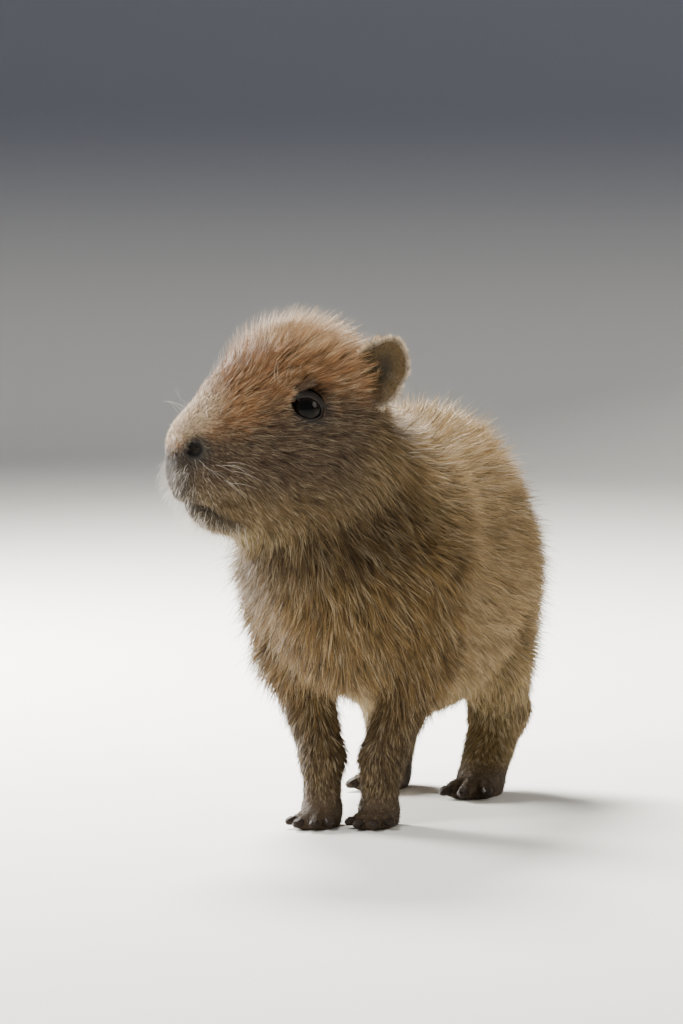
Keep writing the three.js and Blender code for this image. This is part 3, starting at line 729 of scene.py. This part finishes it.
def ear_shell():
    """The cup's inside from the middle out, its rim, and its outside back to the middle."""
    around = EAR_AROUND
    angle = np.arange(around) * 2 * math.pi / around
    inner = [ear_place(np.full(around, s), angle, ear_floor(s, angle)) for s in INNER_SHARES]
    rim = [ear_place(np.full(around, 1.01), angle, np.full(around, height)) for height in RIM_HEIGHTS]
    outer = [
        ear_place(np.full(around, s), angle, ear_floor(s, angle) - EAR["thickness"]) for s in OUTER_SHARES
    ]
    points = np.concatenate(inner + rim + outer)
    count = len(inner + rim + outer)
    turn = np.arange(around)
    step = (turn + 1) % around
    quads = []
    for r in range(count - 1):
        low, high = r * around, (r + 1) * around
        quads.append(np.stack([low + turn, high + turn, high + step, low + step], axis=1))
    tops = np.stack([np.zeros(around - 2, int), turn[1:-1], turn[2:]], axis=1)
    ends = tops[:, ::-1] + (count - 1) * around
    return points, [np.concatenate(quads), np.concatenate([tops, ends])]


# Hair
def unit(v):
    return v / (np.linalg.norm(v, axis=1)[:, None] + 1e-9)


def scatter(points, faces, weight, count, uv=None):
    """Roots spread over triangles in proportion to area times weight, evenly along the faces' order."""
    a, b, c = (points[faces[:, i]] for i in range(3))
    area = np.linalg.norm(np.cross(b - a, c - a), axis=1) / 2
    total = np.cumsum(area * weight)
    aim = (np.arange(count) + rng.random(count)) * total[-1] / count
    face = np.minimum(np.searchsorted(total, aim), len(faces) - 1)
    r, s = rng.random(count), rng.random(count)
    flip = r + s > 1
    r[flip], s[flip] = 1 - r[flip], 1 - s[flip]
    share = np.stack([1 - r - s, r, s], axis=1)
    root = (points[faces[face]] * share[:, :, None]).sum(axis=1)
    if uv is None:
        return root, face, None
    return root, face, (uv[face] * share[:, :, None]).sum(axis=1)


def clumps(root, every):
    """The clump that each hair belongs to: the nearest of some of the roots."""
    own = rng.permutation(len(root))[: max(len(root) // every, 1)]
    tree = KDTree(len(own))
    for i, p in enumerate(root[own]):
        tree.insert(p, i)
    tree.balance()
    near = np.fromiter((tree.find(p)[1] for p in root), dtype=np.int64, count=len(root))
    return own[near], near, len(own)


# Strips: depths in mm, widths of each row as shares, and how much a lock and a hair differ from the rest
ROOT_DEPTH = 0.25
LOWEST = 0.3
TAPER = {3: [1.0, 0.7, 0], 4: [1.0, 0.72, 0.4, 0]}
LOCK_SWING, HAIR_SWING, FIELD_SWING = 0.15, 0.10, 0.22
LOCK_LENGTH, HAIR_LENGTH = 0.10, 0.12
LOCK_LIFT, HAIR_LIFT = 0.16, 0.22
LOCK_SHADE, HAIR_SHADE = 0.16, 0.12
STRAY_LIFT, STRAY_WIDTH = 1.7, 0.7
# Each hair is darker at its root and lighter at its tip: partly its own banding, partly painted shade in the
# gaps between hairs and painted backlight at the tips
SHADED_ROOT_TONE, LIT_TIP_RISE = 0.26, 0.84
DARK_BELOW, DARK_TONE = 0.3, 0.45
PALE_ABOVE, PALE_SHARE = 0.7, 0.9
PALE_TIP = srgb(240, 216, 174)
UV_PATCH = 0.003


def grow(name, root, out, way, coat, tint, uv, locks):
    """A piece of coat: one flat tapering strip for each hair, bent along the way it lies.

    locks says how many rows of points a strip has, how many hairs make a lock and how far they gather,
    and which share of the hairs strays out of it, and how much longer those are.
    """
    n = len(root)
    rows, every, gather, stray, long = (locks[key] for key in ("rows", "every", "gather", "stray", "long"))
    centre, group, groups = clumps(root, every)
    across = unit(np.cross(way, out))
    way = unit(np.cross(out, across))
    group_noise = rng.normal(size=(groups, 3))[group]
    own_noise = rng.normal(size=(n, 3))
    swing = LOCK_SWING * group_noise[:, 0] + HAIR_SWING * own_noise[:, 0] + FIELD_SWING * wave(root, 14, 6)
    way = unit(way + across * swing[:, None])
    across = unit(np.cross(way, out))
    wild = rng.random(n) < stray
    uneven = 1 + LOCK_LENGTH * group_noise[:, 1] + HAIR_LENGTH * own_noise[:, 1]
    length = coat["length"] * uneven * np.where(wild, long, 1)
    uneven = 1 + LOCK_LIFT * group_noise[:, 2] + HAIR_LIFT * own_noise[:, 2]
    lift = coat["lift"] * uneven * np.where(wild, STRAY_LIFT, 1)
    length = np.clip(length, 0.4 * coat["length"], 1.5 * coat["length"])
    lift = np.clip(lift, 0.05, 1.35)
    width = coat["width"] * rng.uniform(0.75, 1.2, n) * np.where(wild, STRAY_WIDTH, 1)
    twist = rng.normal(scale=0.5, size=n)
    flat = unit(across * np.cos(twist)[:, None] + out * np.sin(twist)[:, None])
    pull = (root[centre] - root) * gather
    spots = [root - out * ROOT_DEPTH]
    for j in range(rows - 1):
        bend = 1.45 - 0.9 * (j + 0.5) / (rows - 1)
        angle = lift * bend
        ahead = way * np.cos(angle)[:, None] + out * np.sin(angle)[:, None]
        spots.append(spots[-1] + ahead * (length / (rows - 1))[:, None])
    shares = np.linspace(0, 1, rows)
    spots = [spot + pull * share**1.3 for spot, share in zip(spots, shares)]
    taper = TAPER[rows]
    for spot in spots:
        spot[:, 2] = np.maximum(spot[:, 2], LOWEST)
    per = rows * 2 - 1
    points = np.empty((n, per, 3))
    colours = np.empty((n, per, 3))
    shade = 1 + LOCK_SHADE * group_noise[:, 1] + HAIR_SHADE * rng.normal(size=n)
    kind = 0.55 * rng.random(groups)[group] + 0.45 * rng.random(n)
    shade = np.clip(shade, 0.5, 1.6) * np.where(kind < DARK_BELOW, DARK_TONE, 1.0)
    pale = np.where(kind > PALE_ABOVE, PALE_SHARE, 0.0)[:, None]
    for j in range(rows):
        # painted shade towards the root and painted backlight towards the tip, over the hair's own banding
        tone = tint * (shade * (SHADED_ROOT_TONE + LIT_TIP_RISE * shares[j]))[:, None]
        tone = mix(tone, PALE_TIP * np.sqrt(tint.mean(axis=1, keepdims=True)) * 1.4, pale * shares[j])
        if j < rows - 1:
            half = flat * (width * 0.5 * taper[j])[:, None]
            points[:, 2 * j] = spots[j] - half
            points[:, 2 * j + 1] = spots[j] + half
            colours[:, 2 * j] = tone
            colours[:, 2 * j + 1] = tone
        else:
            points[:, -1] = spots[j]
            colours[:, -1] = tone
    start = np.arange(n)[:, None] * per
    quads = [start + np.array([2 * j, 2 * j + 1, 2 * j + 3, 2 * j + 2]) for j in range(rows - 2)]
    tips = start + np.array([per - 3, per - 2, per - 1])
    patch = np.empty((n, per, 2))
    for j in range(rows - 1):
        up = UV_PATCH * shares[j] - UV_PATCH / 2
        patch[:, 2 * j] = uv + np.array([-UV_PATCH / 2, up])
        patch[:, 2 * j + 1] = uv + np.array([UV_PATCH / 2, up])
    patch[:, -1] = uv + np.array([0, UV_PATCH / 2])
    patch = np.clip(patch, 0, 1)
    made = mesh_object(
        name, place(points.reshape(-1, 3)), [np.concatenate(quads), tips],
        tint=np.clip(colours.reshape(-1, 3), 0, 1), uv=patch.reshape(-1, 2), checked=False,
    )
    made.data.materials.append(COAT)
    return made


# The coat over the body: a piece for each region, with the hairs shared out by area and closeness
triangles = np.concatenate([skin_quads[:, [0, 1, 2]], skin_quads[:, [0, 2, 3]]])
triangle_uv = np.concatenate([skin_uv[:, [0, 1, 2]], skin_uv[:, [0, 2, 3]]])
centres = skin_points[triangles].mean(axis=1)
in_head = to_head(centres)
head_share = headness(centres)
bare = np.zeros(len(centres))
for flip in (np.ones(3), FLIP):
    d = in_head * flip - np.array(EYE["at"])
    along, up = d @ EYE_ALONG, d @ EYE_UP
    lid_edge = eye_share(along - 0.8, up, 2.0)
    bare = np.maximum(bare, (lid_edge < 1) * (d @ EYE_OUT > 0) * (np.linalg.norm(d, axis=1) < 14))
    bare = np.maximum(bare, np.linalg.norm(in_head * flip - NOSTRIL_AT, axis=1) < 4.1)
bare = np.maximum(bare, centres[:, 2] < 1.2)
closeness = coat_at(centres)["density"] * (1 - bare)
on_head_mask = head_share > 0.5
on_legs = (centres[:, 2] < 46) & ~on_head_mask
regions = {
    "coat_muzzle": on_head_mask & (in_head[:, 1] < -14),
    "coat_face": on_head_mask & (in_head[:, 1] >= -14) & (in_head[:, 2] < 4),
    "coat_crown": on_head_mask & (in_head[:, 1] >= -14) & (in_head[:, 2] >= 4),
    "coat_legs": on_legs,
    "coat_chest": ~on_head_mask & ~on_legs & (centres[:, 1] < 24),
    "coat_flank_left": ~on_head_mask & ~on_legs & (centres[:, 1] >= 24) & (centres[:, 0] >= 0),
    "coat_flank_right": ~on_head_mask & ~on_legs & (centres[:, 1] >= 24) & (centres[:, 0] < 0),
}
# Short strips have 3 triangles and long ones 5, and a piece stays under 200,000
HAIRS = {3: 62000, 4: 38500}
LOCKS = {
    "coat_muzzle": {"rows": 3, "every": 4, "gather": 0.4, "stray": 0.05, "long": 1.3},
    "coat_legs": {"rows": 3, "every": 5, "gather": 0.4, "stray": 0.05, "long": 1.3},
    "coat_crown": {"rows": 4, "every": 20, "gather": 0.86, "stray": 0.12, "long": 1.45},
    "coat_chest": {"rows": 4, "every": 6, "gather": 0.6, "stray": 0.09, "long": 1.4},
}
PLAIN_LOCKS = {"rows": 4, "every": 6, "gather": 0.58, "stray": 0.07, "long": 1.35}
for name, mask in regions.items():
    locks = LOCKS.get(name, PLAIN_LOCKS)
    count = HAIRS[locks["rows"]]
    root, _, uv = scatter(skin_points, triangles[mask], closeness[mask], count, triangle_uv[mask])
    out = slope_of(flesh_field, root)
    lie = lie_at(root)
    way = unit(lie - out * (lie * out).sum(axis=1)[:, None])
    coat = coat_at(root)
    piece = grow(name, root, out, way, coat, markings(root), uv, locks)
    finish_piece(piece)


# Ears with their hair, eyes and lids on each side
def in_place(points, side):
    """Points of the head's own frame, on the given side, in the row frame."""
    return place(from_head(points * np.array([side, 1.0, 1.0])))


def rim_line(angle, spread):
    """The eye's rim: how far along and up its opening ends in each direction from the middle."""
    reach = np.full(len(angle), 5.0)
    for _ in range(12):
        reach = reach / eye_share(reach * np.cos(angle), reach * np.sin(angle), spread)
    return reach * np.cos(angle), reach * np.sin(angle)


def off_the_eye(along, up, height):
    """Points of the head's frame at the given height over the eye's middle."""
    spot = np.array(EYE["at"]) + EYE_ALONG * along[:, None] + EYE_UP * up[:, None]
    return spot + EYE_OUT * height[:, None]


def skin_height(along, up):
    height = np.full(len(along), 6.0)
    for _ in range(8):
        p = from_head(off_the_eye(along, up, height))
        height = height - 0.8 * (flesh_field(p) + depth_at(p))
    return height


# The lids' section: how far across from the ball to the skin, and how high above them
LID_PROFILE = [
    (0.0, -1.6), (0.0, 0.1), (0.08, 0.42), (0.22, 0.6), (0.36, 0.42),
    (0.5, 0.52), (0.66, 0.3), (0.82, 0.3), (1.0, -0.15), (1.0, -1.4),
]


def lid_ring(count=96):
    """A closed ring that lies on the ball inside and on the skin outside, with fine folds round it."""
    angle = np.arange(count) * 2 * math.pi / count
    inner, outer = EYE["lid"]
    rows = []
    for share, lift in LID_PROFILE:
        along, up = rim_line(angle, mix(inner, outer, share))
        on_ball = np.sqrt(np.maximum(EYE["radius"] ** 2 - along**2 - up**2, 1))
        height = mix(on_ball, skin_height(along, up), smoothstep(0, 1, share)) + lift
        if lift > 0:
            height = height + 0.07 * np.sin(angle * 3 + share * 16) + 0.05 * np.sin(angle * 17 + share * 9)
        rows.append(off_the_eye(along, up, height))
    i, j = np.meshgrid(np.arange(len(rows)), np.arange(count), indexing="ij")
    i2, j2 = (i + 1) % len(rows), (j + 1) % count
    quads = np.stack([i * count + j, i * count + j2, i2 * count + j2, i2 * count + j], axis=-1)
    return np.concatenate(rows), quads.reshape(-1, 4)


def globe(centre, radius, axis, around=64, rings=40):
    """A ball whose poles lie on the given axis, so that rings run round the pupil."""
    axis = axis / np.linalg.norm(axis)
    first = np.cross(axis, [0, 0, 1])
    first /= np.linalg.norm(first)
    second = np.cross(axis, first)
    polar = np.linspace(0.02, math.pi - 0.02, rings)
    turn = np.arange(around) * 2 * math.pi / around
    t, u = np.meshgrid(polar, turn, indexing="ij")
    flat = first * np.cos(u)[..., None] + second * np.sin(u)[..., None]
    points = centre + radius * (np.cos(t)[..., None] * axis + np.sin(t)[..., None] * flat)
    i, j = np.meshgrid(np.arange(rings - 1), np.arange(around), indexing="ij")
    j2 = (j + 1) % around
    quads = np.stack([i * around + j, (i + 1) * around + j, (i + 1) * around + j2, i * around + j2], axis=-1)
    fan = np.stack([np.zeros(around - 2, int), np.arange(1, around - 1), np.arange(2, around)], axis=1)
    back = fan[:, ::-1] + (rings - 1) * around
    return points.reshape(-1, 3), [quads.reshape(-1, 4), np.concatenate([fan, back])]


def turned_faces(faces, side):
    return [f[:, ::-1] if side < 0 else f for f in faces]


ear_points, ear_faces = ear_shell()
EAR_SHADE = 0.75
EAR_HAIRS = 15000
EAR_LOCKS = {"rows": 3, "every": 12, "gather": 0.66, "stray": 0.05, "long": 1.3}
PALE_EDGE = srgb(226, 206, 180)
edge = np.repeat(np.concatenate([INNER_SHARES, np.ones(len(RIM_HEIGHTS)), OUTER_SHARES]), EAR_AROUND)
inside = np.arange(len(ear_points)) < EAR_RINGS * EAR_AROUND
for side_name, side in SIDES.items():
    inner_tint = mix(srgb(52, 43, 28), srgb(104, 84, 52), smoothstep(0.1, 0.8, edge)[:, None])
    inner_tint = mix(inner_tint, srgb(170, 144, 108), smoothstep(0.9, 1.0, edge)[:, None])
    outer_tint = np.tile(srgb(132, 108, 78), (len(edge), 1))
    ear_tint = np.where(inside[:, None], inner_tint, outer_tint)
    ear_skin = mesh_object(
        f"ear_skin_{side_name}", in_place(ear_points, side), turned_faces(ear_faces, -side),
        tint=ear_tint * EAR_SHADE,
    )
    ear_skin.data.materials.append(EAR_SKIN)
    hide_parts(f"ear_{side_name}")
    finish_piece(ear_skin)

    shell = ear_faces[0]
    ear_triangles = np.concatenate([shell[:, [0, 1, 2]], shell[:, [0, 2, 3]]])
    share = edge[ear_triangles].mean(axis=1)
    within = inside[ear_triangles].all(axis=1)
    ahead = (ear_points[ear_triangles].mean(axis=1) - np.array(EAR["centre"])) @ EAR_ALONG
    ahead = smoothstep(-1, 6, ahead)
    inner_weight = 0.3 + 1.2 * smoothstep(0.86, 1.0, share) + 1.3 * ahead
    outer_weight = 1.2 + 1.2 * smoothstep(0.9, 1.0, share)
    weight = np.where(within, inner_weight, outer_weight)
    root, face, _ = scatter(ear_points, ear_triangles, weight, EAR_HAIRS)
    a, b, c = (ear_points[ear_triangles[face][:, i]] for i in range(3))
    out = -unit(np.cross(b - a, c - a))
    middle = np.array(EAR["centre"]) - EAR_UP * 6
    lie = unit(root - middle) + EAR_OUT * np.where(within[face], 0.2, 0.0)[:, None]
    inner_front = (ahead[face] * within[face])[:, None]
    lie = mix(lie, EAR_UP * 0.35 - EAR_ALONG, inner_front)
    lie = lie - out * (lie * out).sum(axis=1)[:, None]
    reach = share[face]
    shorter = 1 - 0.4 * smoothstep(0.85, 1.0, reach)
    coat = {
        "length": np.where(within[face], 4.0 + 3.4 * ahead[face], 3.2) * shorter,
        "lift": np.radians(np.where(within[face], 22 + 8 * ahead[face], 15)),
        "width": np.where(within[face], 0.15 + 0.08 * ahead[face], 0.15),
    }
    tint = mix(srgb(112, 90, 54), srgb(158, 132, 88), ahead[face][:, None])
    tint = mix(tint, PALE_EDGE, smoothstep(0.84, 0.98, reach)[:, None])
    outer_hair = mix(srgb(158, 132, 98), PALE_EDGE, smoothstep(0.85, 1.0, reach)[:, None])
    tint = np.where(within[face][:, None], tint, outer_hair)
    angle = np.arctan2((root - middle) @ EAR_UP, (root - middle) @ EAR_ALONG)
    spread = np.linalg.norm(root - middle, axis=1) / 40
    half_way = np.where(within[face], 0.27, 0.73)
    uv = np.stack([half_way + spread * np.cos(angle) * 0.7, 0.5 + spread * np.sin(angle) * 0.7], axis=1)
    flip = np.array([side, 1.0, 1.0])
    piece = grow(
        f"ear_hair_{side_name}", from_head(root * flip), turn_from_head(out * flip),
        turn_from_head(unit(lie) * flip), coat, tint, uv, EAR_LOCKS,
    )
    finish_piece(piece)

    centre = np.array(EYE["at"])
    ball_points, ball_faces = globe(centre, EYE["radius"], EYE_OUT)
    iris = np.linalg.norm(ball_points - centre - EYE_OUT * EYE["radius"], axis=1)
    eye_tint = mix(srgb(4, 4, 4), srgb(20, 14, 10), smoothstep(2.4, 4.0, iris)[:, None])
    eye_tint = mix(eye_tint, srgb(8, 7, 6), smoothstep(4.6, 6.4, iris)[:, None])
    eyeball = mesh_object(
        f"eyeball_{side_name}", in_place(ball_points, side), turned_faces(ball_faces, side), tint=eye_tint
    )
    eyeball.data.materials.append(EYE_WET)
    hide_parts(f"eye_{side_name}")
    finish_piece(eyeball)

    lid_points, lid_quads = lid_ring()
    lid = mesh_object(f"lid_{side_name}", in_place(lid_points, side), turned_faces([lid_quads], -side))
    lid.data.materials.append(LID_SKIN)
    finish_piece(lid)


# Whiskers: for each side how many, the boxes of their roots and of their ways, the lengths and the radius
WHISKERS = [
    (16, (10, -38, -32), (16, -25, -18), (0.7, -0.2, -0.5), (1.0, 0.7, 0.1), (9, 17), 0.042),
    (24, (5, -42, -36), (14, -30, -22), (0.5, -0.9, -1.0), (1.0, -0.1, -0.1), (4, 8), 0.034),
    (70, (1, -46, -44), (9, -38, -22), (0.1, -1.0, -0.9), (0.8, -0.5, -0.1), (5, 8), 0.045),
    (50, (0.5, -41, -52), (8, -30, -42), (0.1, -1.0, -0.8), (0.6, -0.5, -0.1), (5, 9), 0.045),
    (90, (1, -36, -50), (12, -10, -42), (0.3, -0.9, -1.0), (0.9, 0.1, -0.5), (6, 11), 0.042),
    (5, (14, -10, 8), (20, 4, 10), (0.4, -0.5, 0.6), (0.9, 0.1, 1.0), (8, 14), 0.05),
    (6, (5, -34, -8), (10, -24, -4), (0.2, -0.8, 0.5), (0.8, -0.2, 1.0), (7, 12), 0.05),
]
WHISKER_ROOT = 0.8
WHISKER_TAPER = 0.85
WHISKER_SAG = np.array([0, 0.06, -0.10])


def whisker_lines():
    lines = []
    for side in SIDES.values():
        flip = np.array([side, 1.0, 1.0])
        for count, low, high, way_low, way_high, lengths, radius in WHISKERS:
            for _ in range(count):
                at = rng.uniform(low, high)
                way = rng.uniform(way_low, way_high)
                lines.append((at * flip, way * flip, rng.uniform(*lengths), radius))
    return lines


def whisker_mesh():
    points, quads, tips = [], [], []
    rows, around = 8, 4
    for at, way, length, radius in whisker_lines():
        start = on_head(at)
        way = way / np.linalg.norm(way)
        spot = start - way * WHISKER_ROOT
        base = len(points)
        for j in range(rows):
            across = np.cross(way, [0.0, 0.0, 1.0])
            across /= np.linalg.norm(across) + 1e-6
            other = np.cross(way, across)
            width = radius * (1 - WHISKER_TAPER * j / (rows - 1))
            for k in range(around):
                turn = k * 2 * math.pi / around
                points.append(spot + width * (across * math.cos(turn) + other * math.sin(turn)))
            spot = spot + way * length / (rows - 1)
            way = way + WHISKER_SAG
            way /= np.linalg.norm(way)
        for j in range(rows - 1):
            for k in range(around):
                k2 = (k + 1) % around
                low, high = base + j * around, base + (j + 1) * around
                quads.append((low + k, low + k2, high + k2, high + k))
        quads.append(tuple(base + (rows - 1) * around + k for k in range(around)))
        quads.append(tuple(base + k for k in reversed(range(around))))
    return np.array(points), np.array(quads)


whisker_points, whisker_quads = whisker_mesh()
whiskers = mesh_object("whiskers", in_place(whisker_points, 1), whisker_quads)
whiskers.data.materials.append(WHISKER)
finish_piece(whiskers)

for name, node in frame["nodes"].items():
    if name.startswith("claw_"):
        node.data.materials.clear()
        node.data.materials.append(CLAW_HORN)


# Floor, light and camera
def area_light(name, aim, azimuth, elevation, distance, size, power, colour):
    lamp = bpy.data.lights.new(name, "AREA")
    lamp.shape = "DISK"
    lamp.size = size
    lamp.energy = power
    lamp.color = colour
    made = bpy.data.objects.new(name, lamp)
    bpy.context.scene.collection.objects.link(made)
    a, e = math.radians(azimuth), math.radians(elevation)
    back = Vector((math.sin(a) * math.cos(e), -math.cos(a) * math.cos(e), math.sin(e)))
    made.location = Vector(aim) + back * distance
    made.rotation_mode = "QUATERNION"
    made.rotation_quaternion = (-back).to_track_quat("-Z", "Y")


AIM = (0.0, 0.02, 0.1)
area_light("rim_behind_left", AIM, 218, 48, 1.1, 0.4, 62, (1.0, 0.97, 0.92))
area_light("rim_low_left", AIM, 250, 14, 1.0, 0.4, 46, (1.0, 0.98, 0.94))
area_light("key_front", AIM, -22, 42, 1.3, 0.25, 12, (1.0, 0.98, 0.95))
area_light("fill_right", AIM, 84, 20, 1.5, 0.7, 9, (1.0, 0.94, 0.82))

world = bpy.data.worlds.new("studio")
bpy.context.scene.world = world
world.use_nodes = True
sky = world.node_tree.nodes["Background"]
fill(sky, {"Color": (0.95, 0.96, 0.98, 1), "Strength": 0.46})


def backdrop(half_width=4.0, front=-4.0, back=1.6, bend=0.9, top=3.5, steps=24):
    """Floor that curves up into a wall behind the animal, without a line between them."""
    turn = np.linspace(0, math.pi / 2, steps)
    curve = [(back + bend * math.sin(t), bend * (1 - math.cos(t))) for t in turn]
    profile = np.array([(front, 0.0)] + curve + [(back + bend, top)])
    n = len(profile)
    left = np.column_stack([np.full(n, -half_width), profile])
    points = np.concatenate([left, left * [-1, 1, 1]])
    row = np.arange(n - 1)
    return points, np.stack([row, row + n, row + n + 1, row + 1], axis=1)


def floor_material():
    """Pale paper that turns to grey as it climbs behind the animal."""
    made = material("floor_paper", srgb(226, 224, 218), roughness=0.9)
    nodes, links = made.node_tree.nodes, made.node_tree.links
    where = nodes.new("ShaderNodeTexCoord")
    split = nodes.new("ShaderNodeSeparateXYZ")
    climb = nodes.new("ShaderNodeMapRange")
    climb.interpolation_type = "SMOOTHSTEP"
    fill(climb, {"From Min": 0.0, "From Max": 0.24})
    ramp = nodes.new("ShaderNodeMix")
    ramp.data_type = "RGBA"
    fill(ramp, {"A": (*srgb(228, 226, 220), 1), "B": (*srgb(110, 113, 124), 1)})
    links.new(where.outputs["Object"], split.inputs[0])
    links.new(split.outputs["Z"], climb.inputs["Value"])
    links.new(climb.outputs["Result"], ramp.inputs["Factor"])
    links.new(ramp.outputs["Result"], nodes["Principled BSDF"].inputs["Base Color"])
    return made


floor = mesh_object("floor", *backdrop())
floor.data.materials.append(floor_material())

CAMERA = {"azimuth": 18.0, "elevation": 5.0, "distance": 2.5, "pixels_per_metre": 2500.0}
FEET_PIXEL = (351.0, 825.0)
IMAGE_SIZE = (683.0, 1024.0)
SENSOR = 36.0
a, e = math.radians(CAMERA["azimuth"]), math.radians(CAMERA["elevation"])
view_back = Vector((math.sin(a) * math.cos(e), -math.cos(a) * math.cos(e), math.sin(e)))
view_right = Vector((math.cos(a), math.sin(a), 0))
view_up = view_back.cross(view_right)
lens = bpy.data.cameras.new("camera")
lens.sensor_width = SENSOR
lens.lens = SENSOR / 2 * CAMERA["distance"] * CAMERA["pixels_per_metre"] / (IMAGE_SIZE[1] / 2)
camera = bpy.data.objects.new("camera", lens)
bpy.context.scene.collection.objects.link(camera)
right_by = (IMAGE_SIZE[0] / 2 - FEET_PIXEL[0]) / CAMERA["pixels_per_metre"]
up_by = (FEET_PIXEL[1] - IMAGE_SIZE[1] / 2) / CAMERA["pixels_per_metre"]
camera.location = (
    Vector(place(np.zeros(3))) + view_back * CAMERA["distance"] + view_right * right_by + view_up * up_by
)
camera.rotation_mode = "QUATERNION"
camera.rotation_quaternion = Matrix((view_right, view_up, view_back)).transposed().to_quaternion()
bpy.context.scene.camera = camera
